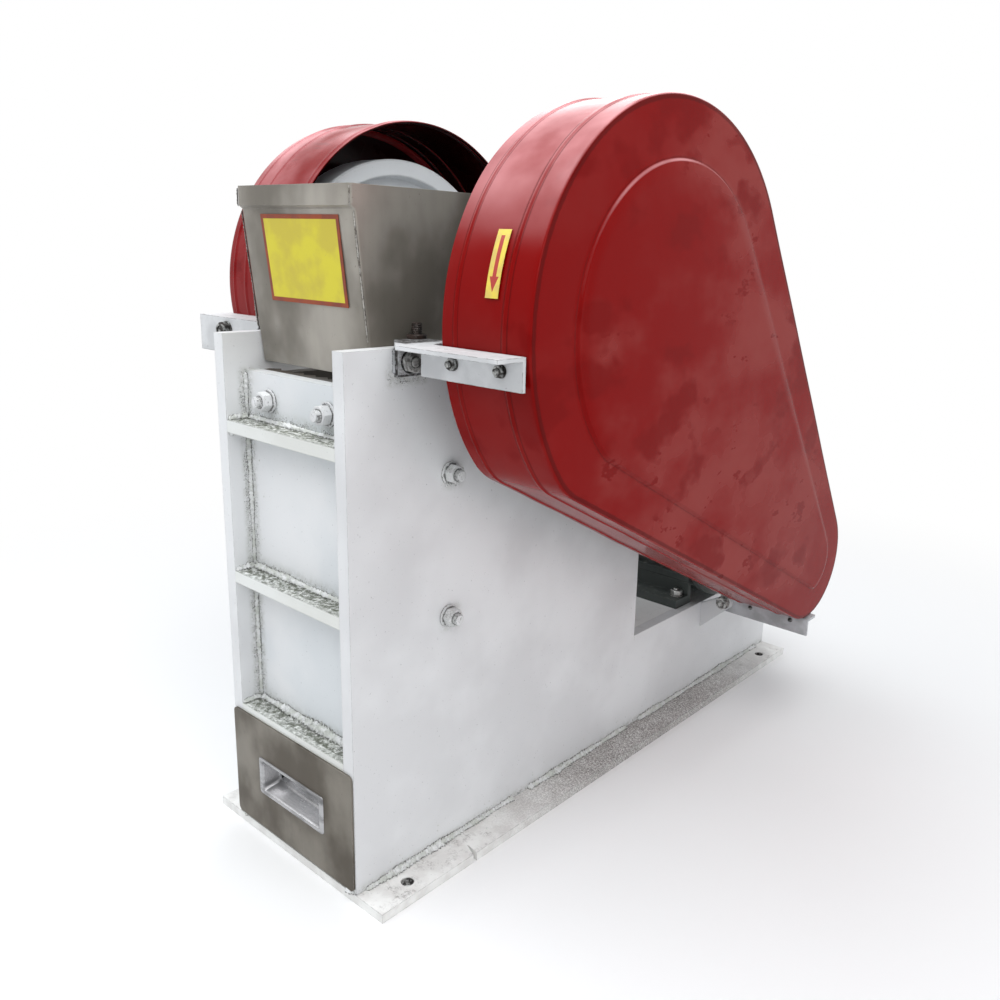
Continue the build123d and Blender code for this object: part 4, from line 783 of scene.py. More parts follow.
# Bare rims of the anchor holes, and bare edges of the angle beside the guard.
HOLE_ZONES = tuple(
    Zone((x - 0.009, depth - 0.009, -0.010), (x + 0.009, depth + 0.009, -0.0012), 0.0004)
    for x in (-ANCHOR_X, ANCHOR_X) for depth in ANCHOR_DEPTHS
)
ANGLE_ZONES = (
    Zone((0.085, 0.045, 0.5600), (0.1405, 0.12, 0.58), 0.0015),
    Zone((0.1075, 0.056, 0.5325), (0.1135, 0.0585, 0.562), 0.001),
    Zone((0.1075, 0.056, 0.530), (0.1135, 0.095, 0.5345), 0.001),
)

FINISHES = (
    Paint("white_paint", WHITE, WHITE_SHADE, zones=PLATE_ZONES),
    Paint("wall_paint", WHITE, (0.70, 0.73, 0.75), zones=WALL_ZONES),
    Paint(
        "rib_paint", (0.80, 0.82, 0.80), (0.72, 0.73, 0.70),
        cover=0.95, smear=(0.115, 0.125, 0.095), smeared=1.0, patch_scale=210.0,
        zones=tuple(Zone((-0.09, 0.007, low), (0.09, 0.03, low + 0.04), 0.002) for low in (0.13, 0.29, 0.45)),
    ),
    # Base plate: lighter than the frame's white, painted light on a flange that lies in shade; its zone darkens the
    # flange's middle stretch.
    Paint(
        "base_paint_painted_light", (0.88, 0.88, 0.86), (0.76, 0.75, 0.73), (0.14, 0.13, 0.12),
        roughness=0.6, cover=0.30, cloud_scale=40.0, relief=0.00012, wear=0.8,
        smear=(0.19, 0.168, 0.160), smeared=0.85, patch_scale=480.0,
        zones=(Zone((-0.15, 0.38, -0.02), (0.15, 0.61, 0.001), 0.26),), burnt=HOLE_ZONES,
    ),
    # Motor deck: lighter than the frame's white, painted light on a deck that lies in the guard's shade.
    Paint("deck_paint_painted_light", (0.93, 0.93, 0.92), (0.86, 0.86, 0.85), smeared=0.3),
    Paint(
        "bracket_paint", (0.72, 0.73, 0.74), (0.58, 0.59, 0.60), (0.10, 0.095, 0.09), (0.10, 0.095, 0.09),
        cloud_scale=25.0, wear=1.0, smear=(0.27, 0.27, 0.27), smeared=0.75,
        zones=(Zone((0.100, 0.056, 0.530), (0.116, 0.095, 0.558), 0.006),), burnt=ANGLE_ZONES,
    ),
    Paint(
        "rear_bracket_paint", (0.50, 0.51, 0.53), (0.36, 0.37, 0.38), (0.07, 0.07, 0.07), (0.08, 0.075, 0.07),
        cover=0.5, cloud_scale=45.0, wear=1.0, smear=(0.50, 0.51, 0.52), smeared=0.6,
    ),
    Paint(
        "casting_paint", (0.33, 0.35, 0.36), (0.26, 0.27, 0.28), (0.10, 0.10, 0.09),
        relief=0.00025, cover=0.4, wear=0.6,
    ),
    # Flywheel: lighter than the frame's white, painted light on a wheel that lies in the hood's shade.
    Paint("flywheel_paint_painted_light", (0.90, 0.93, 0.95), (0.82, 0.85, 0.87), (0.20, 0.20, 0.19), cover=0.1),
    Paint("pulley_paint", (0.10, 0.11, 0.12), (0.16, 0.17, 0.17), (0.20, 0.20, 0.19), cover=0.1),
    Paint(
        "motor_paint", (0.035, 0.042, 0.040), (0.06, 0.07, 0.065), (0.22, 0.21, 0.19), (0.15, 0.15, 0.14),
        cover=0.35,
    ),
    # Guard: the fourth colour is pale dust and a painted highlight on what looks up.
    Enamel(
        "guard_enamel", (0.218, 0.0020, 0.0018), (0.262, 0.036, 0.032), (0.185, 0.0010, 0.0008), (0.95, 0.48, 0.50),
        cover=0.75, gloss=0.07,
        hazy=(
            Zone((0.272, 0.30, 0.10), (0.290, 0.80, 0.44), 0.10), Zone((0.272, 0.33, 0.30), (0.290, 0.60, 0.76), 0.10),
            Zone((0.272, 0.16, 0.36), (0.290, 0.26, 0.60), 0.05),
        ),
    ),
    # Hood: the fourth colour is pale dust and a painted highlight on what looks up.
    Enamel(
        "hood_enamel", (0.20, 0.003, 0.004), (0.25, 0.022, 0.023), (0.17, 0.002, 0.003), (0.92, 0.46, 0.48),
        # Near-black painted shade on the inside, within the radii below.
        cover=0.55, gloss=0.08, film_share=0.45, inside_shade=(0.014, 0.0008, 0.0010),
        lined=((0.1962, -0.2222), (0.1882, -0.2300)), axle=(0.2865, 0.600),
    ),
    Paint(
        "weld_paint", (0.80, 0.81, 0.81), (0.64, 0.66, 0.62), (0.10, 0.10, 0.09),
        cloud_scale=120.0, cover=0.35, relief=0.0005, smear=(0.60, 0.61, 0.60),
    ),
    Metal("seam_metal", (0.50, 0.49, 0.46), (0.16, 0.14, 0.12), 0.34, (300.0,) * 3, stain_scale=150.0),
    Metal(
        "bracket_bolts", (0.44, 0.45, 0.44), (0.035, 0.032, 0.030), 0.40, (300.0,) * 3,
        metallic=0.8, stain_scale=170.0, stains=0.62,
    ),
    # Cleat bolts: a lighter, less metallic copy of the seam metal, painted light on bolts that lie in shade.
    Metal(
        "cleat_bolt_painted_light", (0.60, 0.60, 0.58), (0.13, 0.125, 0.12), 0.45, (300.0,) * 3,
        metallic=0.3, stain_scale=150.0, stains=0.45,
    ),
    Notice(),
    ArrowLabel(),
    # Stainless: a dark warm grey in large soft clouds, painted reflection of dark surroundings as well as stains.
    Metal(
        "stainless_sheet_painted_reflection", (0.375, 0.350, 0.310), (0.165, 0.150, 0.126),
        spin=0.3, metallic=0.32, stain_scale=8.0, drift=(1.0, 1.0, 0.8), tones=0.16, stains=0.55,
    ),
    # Drawer front: a darker copy of the stainless, painted reflection of dark surroundings.
    Metal(
        "drawer_sheet_painted_reflection", (0.205, 0.186, 0.155), (0.090, 0.076, 0.058), 0.34,
        metallic=0.6, stain_scale=11.0, drift=(1.0, 1.0, 0.8), tones=0.12, stains=0.55,
    ),
    Metal(
        "pull_chrome", (0.42, 0.42, 0.43), (0.20, 0.20, 0.205), 0.20, (20.0, 600.0, 600.0),
        stain_scale=40.0, drift=(0.5, 1.0, 2.0), tones=0.5,
    ),
    Metal("jaw_steel", (0.22, 0.21, 0.20), (0.14, 0.12, 0.10), 0.48, (180.0,) * 3, 0.0003, 0.7),
    Metal("turned_steel", (0.50, 0.50, 0.49), (0.36, 0.35, 0.33), 0.28, (1400.0, 60.0, 60.0)),
    Metal("zinc_bolts", (0.48, 0.48, 0.47), (0.30, 0.29, 0.27), 0.36, (400.0,) * 3, stain_scale=90.0),
    Metal(
        "burnt_bolts", (0.035, 0.030, 0.028), (0.085, 0.055, 0.045), 0.45, (400.0,) * 3, metallic=0.7, stain_scale=90.0
    ),
    Paint(
        "belt_rubber", (0.018, 0.018, 0.019), (0.030, 0.030, 0.031), (0.12, 0.11, 0.10), (0.03, 0.03, 0.03),
        roughness=0.7, cover=0.2, wear=0.1,
    ),
)
Looks = dict[str, Material]

# CAD nodes that stay, by the finish that each gets.
DRESSED = {
    "white_paint": ("side_plate_left", "side_plate_right", "rear_cross_plate", "rear_end_plate",
                    "bearing_seat_left", "bearing_seat_right", "rear_bracket_lug"),
    "deck_paint_painted_light": ("motor_deck",),
    "wall_paint": ("front_wall",),
    "rib_paint": ("front_rib_upper", "front_rib_middle", "front_rib_lower", "drawer_runners"),
    "base_paint_painted_light": ("base_plate",),
    "bracket_paint": ("guard_bracket_front", "hood_bracket_front"),
    "rear_bracket_paint": ("guard_bracket_rear", "hood_bracket_rear"),
    "casting_paint": ("pitman", "toggle_plate", "toggle_seat", "bearing_block_left", "bearing_block_right"),
    "pulley_paint": ("driven_pulley", "motor_pulley"),
    "motor_paint": ("motor_body", "motor_terminal_box"),
    "stainless_sheet_painted_reflection": ("drawer_tray",),
    "drawer_sheet_painted_reflection": ("drawer_front",),
    "jaw_steel": ("fixed_jaw", "swing_jaw", "cheek_plate_left", "cheek_plate_right"),
    "turned_steel": ("eccentric_shaft", "shaft_end_caps", "tension_rod", "tension_spring"),
    "burnt_bolts": ("hopper_clamps",),
    "belt_rubber": ("v_belts",),
}


def dress(node: str, material: Material) -> None:
    """Gives a CAD node its material.

    Args:
        node: The node's name.
        material: Its material.
    """
    slots = NODES[node].data.materials
    slots.clear()
    slots.append(material)
    LOG.info("dressed %s with %s", node, material.name)


@dataclass
class Stock:
    """Surfaces collected for one piece, as grids of points worked out with numpy."""

    points: list[Array] = field(default_factory=list)
    quads: list[Array] = field(default_factory=list)
    shades_and_dirt: list[Array] = field(default_factory=list)
    count: int = 0

    # Distance within which points are one, and length under which an edge is none.
    MERGE = 1e-6
    SLIVER = 1e-7

    def grid(self, points: Array, wrap: bool = False, shade_and_dirt: Array | float = 0.0) -> None:
        """Adds a grid of points of shape (rows, columns, 3) as quads.

        Args:
            points: The grid.
            wrap: Whether the last column joins the first.
            shade_and_dirt: Painted shade and dirt at each point, 0 to 1.
        """
        rows, columns = points.shape[:2]
        row, column = np.meshgrid(np.arange(rows - 1), np.arange(columns if wrap else columns - 1), indexing="ij")
        near, far = row * columns, (row + 1) * columns
        after = (column + 1) % columns
        corners = np.stack((near + column, near + after, far + after, far + column), -1)
        self.quads.append(corners.reshape(-1, 4) + self.count)
        self.points.append(points.reshape(-1, 3))
        self.shades_and_dirt.append(np.broadcast_to(shade_and_dirt, (rows, columns)).reshape(-1))
        self.count += rows * columns

    def sheet(
        self, outer: Array, inner: Array, rows: tuple[int, ...] = (0, -1), columns: tuple[int, ...] = (0, -1),
        shade_and_dirt: Array | float = 0.0,
    ) -> None:
        """Adds the two sides of a sheet, with strips along its open edges.

        Args:
            outer: Grid of the outer side.
            inner: Grid of the inner side, of like shape.
            rows: Rows that are open edges.
            columns: Columns that are open edges; with none the last column joins the first.
            shade_and_dirt: Painted shade and dirt at each point of the outer side.
        """
        self.grid(outer, not columns, shade_and_dirt)
        self.grid(inner, not columns)
        for row in rows:
            self.grid(np.stack((outer[row], inner[row])), not columns)
        for column in columns:
            self.grid(np.stack((outer[:, column], inner[:, column])))

    def piece(
        self, name: str, body: Body, material: Material, slot: str, stands_for: tuple[str, ...] = (),
        sharp: float = 40.0,
    ) -> None:
        """Makes the mesh object, merges its seams and poles, and turns its faces outwards.

        Args:
            name: The piece's name.
            body: The body that it rides on.
            material: Its finish.
            slot: Name of the record's material slot for the piece; not used.
            stands_for: CAD nodes that it replaces.
            sharp: Angle in degrees from which an edge stays sharp.
        """
        mesh = bpy.data.meshes.new(name)
        mesh.from_pydata(np.concatenate(self.points).tolist(), [], np.concatenate(self.quads).tolist())
        # Painted shade and dirt at each point, kept as an attribute.
        shade_and_dirt = np.concatenate(self.shades_and_dirt).astype(np.float32)
        if shade_and_dirt.any():
            mesh.attributes.new(SHADE_AND_DIRT, "FLOAT", "POINT").data.foreach_set("value", shade_and_dirt)
        work = bmesh.new()
        work.from_mesh(mesh)
        bmesh.ops.remove_doubles(work, verts=work.verts, dist=self.MERGE)
        bmesh.ops.dissolve_degenerate(work, edges=work.edges, dist=self.SLIVER)
        bmesh.ops.recalc_face_normals(work, faces=work.faces)
        work.to_mesh(mesh)
        work.free()
        mesh.shade_smooth()
        mesh.set_sharp_from_angle(angle=math.radians(sharp))
        mesh.materials.append(material)
        piece = bpy.data.objects.new(name, mesh)
        bpy.context.scene.collection.objects.link(piece)
        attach(piece, body.value)
        if stands_for:
            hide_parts(*stands_for)
        LOG.info("made %s with %d faces", name, len(mesh.polygons))


def unit(angle: Array | float) -> Array:
    """Unit vector at an angle in radians, or one for each angle of an array."""
    return np.stack((np.cos(angle), np.sin(angle)), -1)


def between(first: Array, last: Array, count: int) -> Array:
    """Points on the straight run between two points, without the two."""
    step = np.linspace(0.0, 1.0, count + 2)[1:-1, None]
    return first * (1 - step) + last * step


@dataclass(frozen=True)
class Ripple:
    """Smooth unevenness of a sheet.

    Args:
        seed: Start of the random numbers.
        waves: Count of waves.
        longest: Longest wavelength in metres; the shortest is a quarter of it.
        rise: Greatest height in metres.
    """

    seed: int
    waves: int
    longest: float
    rise: float

    def height(self, first: Array, second: Array) -> Array:
        """Height over two coordinates, the rise times the mean of sine waves of random direction.

        Args:
            first: One coordinate of each point, in metres.
            second: The other.

        Returns:
            Heights up to the rise, up or down.
        """
        chance = np.random.default_rng(self.seed)
        total = np.zeros_like(first)
        for _ in range(self.waves):
            turn, phase = chance.uniform(0, 2 * math.pi, 2)
            pace = 2 * math.pi / (self.longest * chance.uniform(0.25, 1.0))
            total = total + np.sin((first * math.cos(turn) + second * math.sin(turn)) * pace + phase)
        return self.rise * total / self.waves


Arc = tuple[Array, float, Array]
Row = tuple[Array, float]


def shrinking(first: Array, last: Array, x: float, count: int) -> list[Row]:
    """Rows on the straight way from one outline to another at one X, without the first."""
    return [(first * (1 - share) + last * share, x) for share in np.linspace(0, 1, count + 1)[1:]]


@dataclass(frozen=True)
class Teardrop:
    """Outline of two arcs, about the shaft and about a tip near the motor, with their tangent and a straight cut.

    Args:
        big_r: Radius about the crusher's shaft.
        tip_r: Radius about the tip.
        cut_inset: Distance of the cut in from the cover's own.
        heel_r: Radius of the corner between the big arc and the cut.
        toe_r: Radius of the corner between the cut and the tip's arc.
    """

    big_r: float
    tip_r: float
    cut_inset: float
    heel_r: float
    toe_r: float

    # Depth and height of the tip, and the cover's own cut: radius and angle about the shaft of its
    # start, and about the tip of its end.
    TIP = (0.665, 0.241)
    CUT_START = (0.218, math.radians(220.9))
    CUT_END = (0.084, math.radians(241.2))
    # Points on the heel, the big arc, the tip's arc and the toe, and on each straight run.
    COUNTS = (16, 150, 64, 8)
    RUN = 44

    def arcs(self) -> list[Arc]:
        """Arcs of the outline as centre, radius and angles, from the heel over the top to the toe.

        A corner's arc touches its big arc from inside, so its centre lies at the difference of the
        radii; it also touches the cut, so its distance along the cut's normal is the cut's less its
        own radius. The quotient of the two is the cosine of the centre's angle off the normal.

        Returns:
            Centre, radius and angles of each arc.
        """
        big, tip = np.array(SHAFT), np.array(self.TIP)
        start = big + self.CUT_START[0] * unit(self.CUT_START[1])
        along = tip + self.CUT_END[0] * unit(self.CUT_END[1]) - start
        along = along / np.linalg.norm(along)
        normal = np.array((along[1], -along[0]))
        off = math.atan2(normal[1], normal[0])
        big_reach, tip_reach = (float(np.dot(start - centre, normal)) - self.cut_inset for centre in (big, tip))
        heel = off - math.acos((big_reach - self.heel_r) / (self.big_r - self.heel_r))
        toe = off + math.acos((tip_reach - self.toe_r) / (self.tip_r - self.toe_r))
        line = tip - big
        tangent = math.atan2(line[1], line[0]) + math.acos((self.big_r - self.tip_r) / np.linalg.norm(line))
        heel_n, big_n, tip_n, toe_n = self.COUNTS
        return [
            (big + (self.big_r - self.heel_r) * unit(heel), self.heel_r, np.linspace(off, heel, heel_n)),
            (big, self.big_r, np.linspace(heel, tangent - 2 * math.pi, big_n)),
            (tip, self.tip_r, np.linspace(tangent, toe, tip_n)),
            (tip + (self.tip_r - self.toe_r) * unit(toe), self.toe_r, np.linspace(toe, off, toe_n)),
        ]

    def outline(self, inset: float) -> Array:
        """Closed outline as points (depth, height); every arc keeps its centre and angles and loses the inset.

        Args:
            inset: Distance to move it in.

        Returns:
            The arcs, joined by straight runs.
        """
        heel, big, tip, toe = (centre + (radius - inset) * unit(angles) for centre, radius, angles in self.arcs())
        over, under = between(big[-1], tip[0], self.RUN), between(toe[-1], heel[0], self.RUN)
        return np.concatenate((heel, big, over, tip, toe, under))

    def spine(self) -> Array:
        """Line that the face closes on: the arcs shrink to the shaft or the tip, the runs join the two.

        Returns:
            As many points as the outline has.
        """
        big, tip = np.array(SHAFT), np.array(self.TIP)
        run = between(big, tip, self.RUN)
        big_n, tip_n = sum(self.COUNTS[:2]), sum(self.COUNTS[2:])
        return np.concatenate((np.tile(big, (big_n, 1)), run, np.tile(tip, (tip_n, 1)), run[::-1]))


@dataclass(frozen=True)
class Cover:
    """Pressed cover, open beside the machine: a rim with beads, and an edge rounded into its face.

    Args:
        inner_x: Open edge beside the machine.
        outer_x: Face.
        edge_r: Radius of the pressed edge.
        edge_rows: Count of rows round the edge.
        beads: X of the beads round the rim.
        rim_wave: Unevenness of the rim.
        face_wave: Unevenness of the face.
        weave: Shares of X, depth and height in each of the two coordinates of the rim's unevenness.
        calm: Width beside the pressed edge over which the rim's unevenness fades out.
        bead: Half width and rise of a bead.
    """

    inner_x: float
    outer_x: float
    edge_r: float
    edge_rows: int
    beads: tuple[float, ...]
    rim_wave: Ripple
    face_wave: Ripple
    weave: tuple[Point, Point]
    calm: float
    bead: Pair = (0.0030, 0.0015)

    def outline(self, inset: float) -> Array:
        """Outline of the cover, moved in by an inset."""
        raise NotImplementedError

    def edge_x(self) -> tuple[float, float]:
        """X at which the pressed edge starts, and the way out along X as 1 or -1."""
        way = math.copysign(1.0, self.outer_x - self.inner_x)
        return self.outer_x - way * self.edge_r, way

    def rim(self, depth_in: float) -> list[Row]:
        """Rows of the rim and its edge on one side of the sheet.

        The outline is carried along X, moved out over each bead by the bead's rise times a squared
        cosine, and then turned in round a quarter circle.

        Args:
            depth_in: Distance in from the outer side, 0 or the sheet's thickness.

        Returns:
            Outline and X of each row.
        """
        half, rise = self.bead
        start, way = self.edge_x()
        over = [centre + half * np.linspace(-1, 1, 9) for centre in self.beads]
        x = np.unique(np.round(np.concatenate((np.linspace(self.inner_x, start, 26), *over)), 6))[::int(way)]
        lift = sum(
            rise * np.where(np.abs(x - centre) < half, np.cos((x - centre) / half * math.pi / 2) ** 2, 0.0)
            for centre in self.beads
        )
        bend = self.edge_r - depth_in
        return [(self.outline(depth_in - out), level) for level, out in zip(x, lift)] + [
            (self.outline(self.edge_r - bend * math.cos(turn)), start + way * bend * math.sin(turn))
            for turn in np.linspace(0, math.pi / 2, self.edge_rows + 1)[1:]
        ]

    def dented(self, sides: Array, levels: Array, middle: Array, rim_free: Array, face_free: Array | float) -> Array:
        """Grid of points of one side of the sheet, made a little uneven.

        The rim is pushed away from the middle by its ripples, which fade out at the pressed edge,
        and the face along X by its own, which fade in round that edge.

        Args:
            sides: Depth and height of each point, row by row.
            levels: X of each row.
            middle: Depth and height that the rim is pushed away from.
            rim_free: Share of the rim's ripples at each point.
            face_free: Share of the face's.

        Returns:
            The grid.
        """
        out = np.repeat(levels[:, None], sides.shape[1], axis=1)
        start, way = self.edge_x()
        away = sides - middle
        away = away / np.maximum(np.linalg.norm(away, axis=-1, keepdims=True), 1e-6)
        across, along = (out * x + sides[..., 0] * depth + sides[..., 1] * height for x, depth, height in self.weave)
        slack = np.clip(way * (start - out) / self.calm, 0, 1) * rim_free
        sides = sides + away * (self.rim_wave.height(across, along) * slack)[..., None]
        deep = np.clip(way * (out - start) / self.edge_r, 0, 1) * face_free
        out = out + deep * self.face_wave.height(sides[..., 0], sides[..., 1])
        return spot(out, sides[..., 0], sides[..., 1])


@dataclass(frozen=True)
class BeltGuard(Cover):
    """Cover of the belt drive, with a raised panel on its face.

    Args:
        shape: Outline of the cover.
        panel: Outline of the panel's foot.
        panel_rise: How far the panel stands out.
        panel_step: Width of the panel's step.
        panel_shade_and_dirt: Painted shade and dirt at the foot of the step and on its first row.
        seat: Depth and height of the rear bracket.
        seat_r: Radius about it without ripples on the rim; they are full at twice that.
    """

    inner_x: float = 0.169
    outer_x: float = 0.275
    edge_r: float = 0.003
    edge_rows: int = 5
    beads: tuple[float, ...] = (0.185, 0.245)
    rim_wave: Ripple = Ripple(11, 9, 0.22, 0.0012)
    face_wave: Ripple = Ripple(12, 9, 0.35, 0.0009)
    weave: tuple[Point, Point] = ((1.6, 1.0, 0.0), (0.0, -0.4, 1.0))
    calm: float = 0.03
    shape: Teardrop = Teardrop(0.218, 0.084, 0.0, 0.072, 0.024)
    panel: Teardrop = Teardrop(0.161, 0.046, 0.048, 0.040, 0.016)
    panel_rise: float = 0.003
    panel_step: float = 0.004
    panel_shade_and_dirt: Pair = (0.55, 0.3)
    seat: Pair = (0.700, 0.150)
    seat_r: float = 0.10

    # Rows from the rim to the panel, up its step and in to the spine.
    FACE_ROWS = 10
    STEP_ROWS = 5
    TOP_ROWS = 11

    # Most painted shade and dirt beside a bead, the width that it would fade over from 1, and most painted shade at
    # the edge.
    BEAD_SHADE_AND_DIRT = 0.7
    SHADE_AND_DIRT_WIDTH = 0.0016
    EDGE_SHADE = 0.95

    def outline(self, inset: float) -> Array:
        """Outline of the cover, moved in by an inset."""
        return self.shape.outline(inset)

    def rows(self, depth_in: float) -> list[Row]:
        """Rows of one side of the sheet, from the open edge round the rim to the middle of the face.

        On the face the rim's outline is blended into the panel's, the panel rises on a smooth step,
        and the rest is blended into the spine.

        Args:
            depth_in: Distance in from the outer side, 0 or the sheet's thickness.

        Returns:
            Outline and X of each row.
        """
        face = self.outer_x - depth_in
        foot, top = self.panel.outline(0.0), self.panel.outline(self.panel_step)
        step = [
            (self.panel.outline(self.panel_step * share), face + self.panel_rise * share * share * (3 - 2 * share))
            for share in np.linspace(0, 1, self.STEP_ROWS + 1)[1:]
        ]
        inside = shrinking(top, self.panel.spine(), face + self.panel_rise, self.TOP_ROWS)
        return self.rim(depth_in) + shrinking(self.outline(self.edge_r), foot, face, self.FACE_ROWS) + step + inside

    def skin(self, depth_in: float) -> Array:
        """Grid of points of one side of the sheet, uneven but for the rim round the rear bracket.

        Args:
            depth_in: Distance in from the outer side, 0 or the sheet's thickness.

        Returns:
            The grid.
        """
        sides, levels = map(np.array, zip(*self.rows(depth_in)))
        free = np.clip(np.linalg.norm(sides - self.seat, axis=-1) / self.seat_r - 1.0, 0, 1)
        return self.dented(sides, levels, sides.mean(axis=(0, 1)), free, 1.0)

    def shade_and_dirt_rows(self) -> Array:
        """Painted shade and dirt by row of the outer side: beside the beads, up the pressed edge and at the panel's
        foot.

        Returns:
            Shares of painted shade and dirt, 0 to 1, as a column.
        """
        x = np.array([level for _, level in self.rim(0.0)])
        bent = (x - self.edge_x()[0]) / self.edge_r
        beside = np.max([
            self.BEAD_SHADE_AND_DIRT - np.abs(np.abs(x - centre) - self.bead[0]) / self.SHADE_AND_DIRT_WIDTH for centre in self.beads
        ], axis=0)
        # Painted shade and dirt of each row.
        dirt = np.zeros(len(self.rows(0.0)))
        dirt[:len(x)] = np.where(bent > 0.01, self.EDGE_SHADE * bent ** 4, beside)
        foot = len(dirt) - self.STEP_ROWS - self.TOP_ROWS - 1
        dirt[foot:foot + 2] = self.panel_shade_and_dirt
        return np.clip(dirt, 0.0, 1.0)[:, None]

    def build(self, looks: Looks) -> None:
        """Makes the cover, both sides of its sheet and the strip on its open edge.

        Args:
            looks: Materials by the finish's name.
        """
        stock = Stock()
        stock.sheet(self.skin(0.0), self.skin(SHEET), (0,), (), self.shade_and_dirt_rows())
        stock.piece("guard_cover", Body.FRAME, looks["guard_enamel"], "red_paint", ("belt_guard",))


@dataclass(frozen=True)
class FlywheelHood(Cover):
    """Arched cover of the flywheel, open to the machine and below.

    Args:
        centre: Depth and height of the arch's centre.
        radius: Its radius.
        foot: Height of its level foot.
        firm: Height over the foot up to which it is less uneven.
    """

    inner_x: float = -0.110
    outer_x: float = -0.231
    edge_r: float = 0.008
    edge_rows: int = 6
    beads: tuple[float, ...] = (-0.117, -0.190, -0.214)
    rim_wave: Ripple = Ripple(21, 8, 0.2, 0.0008)
    face_wave: Ripple = Ripple(22, 8, 0.35, 0.0008)
    weave: tuple[Point, Point] = ((1.5, 0.0, 0.0), (0.0, 1.0, 1.0))
    calm: float = 0.02
    centre: Pair = (0.2865, 0.600)
    radius: float = 0.197
    foot: float = 0.568
    firm: float = 0.05

    ARCH_POINTS = 130
    FACE_ROWS = 21

    def outline(self, inset: float) -> Array:
        """Arch from foot to foot, moved in by an inset; the foot's angle has the drop over the radius as sine.

        Args:
            inset: Distance to move it in.

        Returns:
            Points (depth, height).
        """
        radius = self.radius - inset
        low = math.asin((self.foot - self.centre[1]) / radius)
        return np.array(self.centre) + radius * unit(np.linspace(low, math.pi - low, self.ARCH_POINTS))

    def skin(self, depth_in: float) -> Array:
        """Grid of points of one side of the sheet: the rim, then the face blended into the foot's middle.

        Args:
            depth_in: Distance in from the outer side, 0 or the sheet's thickness.

        Returns:
            The grid, uneven but for its level foot.
        """
        pole = np.array((self.centre[0], self.foot))
        face = shrinking(self.outline(self.edge_r), pole, self.outer_x + depth_in, self.FACE_ROWS)
        sides, levels = map(np.array, zip(*(self.rim(depth_in) + face)))
        above = np.clip((sides[..., 1] - self.foot) / self.firm, 0, 1)
        return self.dented(sides, levels, np.array(self.centre), above, above)

    def build(self, looks: Looks) -> None:
        """Makes the hood, both sides of its sheet and the strips on its open edges.

        Args:
            looks: Materials by the finish's name.
        """
        stock = Stock()
        stock.sheet(self.skin(0.0), self.skin(SHEET), (0,))
        stock.piece("hood_cover", Body.FRAME, looks["hood_enamel"], "red_paint", ("flywheel_hood",))


def round_loop(half_x: float, half_y: float, corner: float) -> Array:
    """Rectangle with round corners about the origin, as 64 points whatever its size.

    Args:
        half_x: Half its width.
        half_y: Half its height.
        corner: Radius of the corners.

    Returns:
        Four quarter circles, joined by straight runs.
    """
    turns = np.linspace(0, math.pi / 2, 8)
    corners = [
        np.array((side_x * (half_x - corner), side_y * (half_y - corner))) + corner * unit(turns + index * math.pi / 2)
        for index, (side_x, side_y) in enumerate(((1, 1), (-1, 1), (-1, -1), (1, -1)))
    ]
    runs = [between(this[-1], after[0], 8) for this, after in zip(corners, corners[1:] + corners[:1])]
    return np.concatenate([points for pair in zip(corners, runs) for points in pair])


@dataclass(frozen=True)
class Weld:
    """Fillet weld in a straight corner: a round bead with ripples like scales.

    Args:
        start: One end of the corner, as an X, a depth and a height.
        end: Its other end.
        first: Direction of one leg along its face.
        second: Direction of the other leg.
        leg: Size of the bead.
        pitch: Distance between the ripples.
    """

    start: Point
    end: Point
    first: Point
    second: Point
    leg: float
    pitch: float = 0.0045

    # Painted shade and dirt from toe to toe, how far in radians the bead laps past its faces, and the length over
    # which its ends close.
    TOES = (1.0, 1.0, 0.55, 0.15, 0.0, 0.0, 0.15, 0.55, 1.0)
    LAP = 0.12
    FADE = 0.002

    # Mean size, share and length of the slow swells, share and lag of the ripples, and the chance
    # spread of the size from step to step and from point to point, all as shares of the leg.
    MEAN = 0.92
    SWELLS = ((0.20, 0.031), (0.16, 0.0097))
    RIPPLE, LAG = 0.16, 0.4
    STEP_SPREAD, POINT_SPREAD = 0.07, 0.15

    def lay(self, stock: Stock, seed: int) -> None:
        """Adds the bead to a stock.

        Along the corner the size is the leg times one plus slow noise plus the ripples, each an
        absolute sine that lags in the middle of the bead, and every point has its own small share
        more or less; both ends close on a point. Across, the legs take the cosine and the sine of
        an angle from face to face. Painted shade and dirt lie along the toes.

        Args:
            stock: Stock that gets the bead.
            seed: Start of the random numbers.
        """
        start, end = spot(*self.start), spot(*self.end)
        length = float(np.linalg.norm(end - start))
        steps = max(12, int(length / self.pitch * 5))
        along = np.linspace(0, length, steps)[:, None]
        turn = np.linspace(-self.LAP, math.pi / 2 + self.LAP, len(self.TOES) - 1)[None, :]
        chance = np.random.default_rng(seed)
        phase = chance.uniform(0, 2 * math.pi, 3)
        slow = sum(share * np.sin(along / run + lag) for (share, run), lag in zip(self.SWELLS, phase))
        jitter = chance.normal(0, self.STEP_SPREAD, (steps, 1))
        wave = np.sin(math.pi * (along / self.pitch - self.LAG * np.sin(2 * turn)) + phase[2])
        scales = self.RIPPLE * np.abs(wave)
        taper = np.clip(np.minimum(along, length - along) / self.FADE, 0, 1) ** 0.5
        crumbs = 1.0 + chance.normal(0, self.POINT_SPREAD, (steps, turn.shape[1]))
        size = self.leg * (self.MEAN + slow + jitter + scales) * taper * crumbs
        path = (start + (end - start) * along / length)[:, None, :]
        first, second = (np.array(way) / np.linalg.norm(way) for way in (self.first, self.second))
        bead = size[..., None] * (np.cos(turn)[..., None] * first + np.sin(turn)[..., None] * second)
        stock.grid(np.concatenate((path, path + bead), axis=1), wrap=True, shade_and_dirt=np.array(self.TOES))


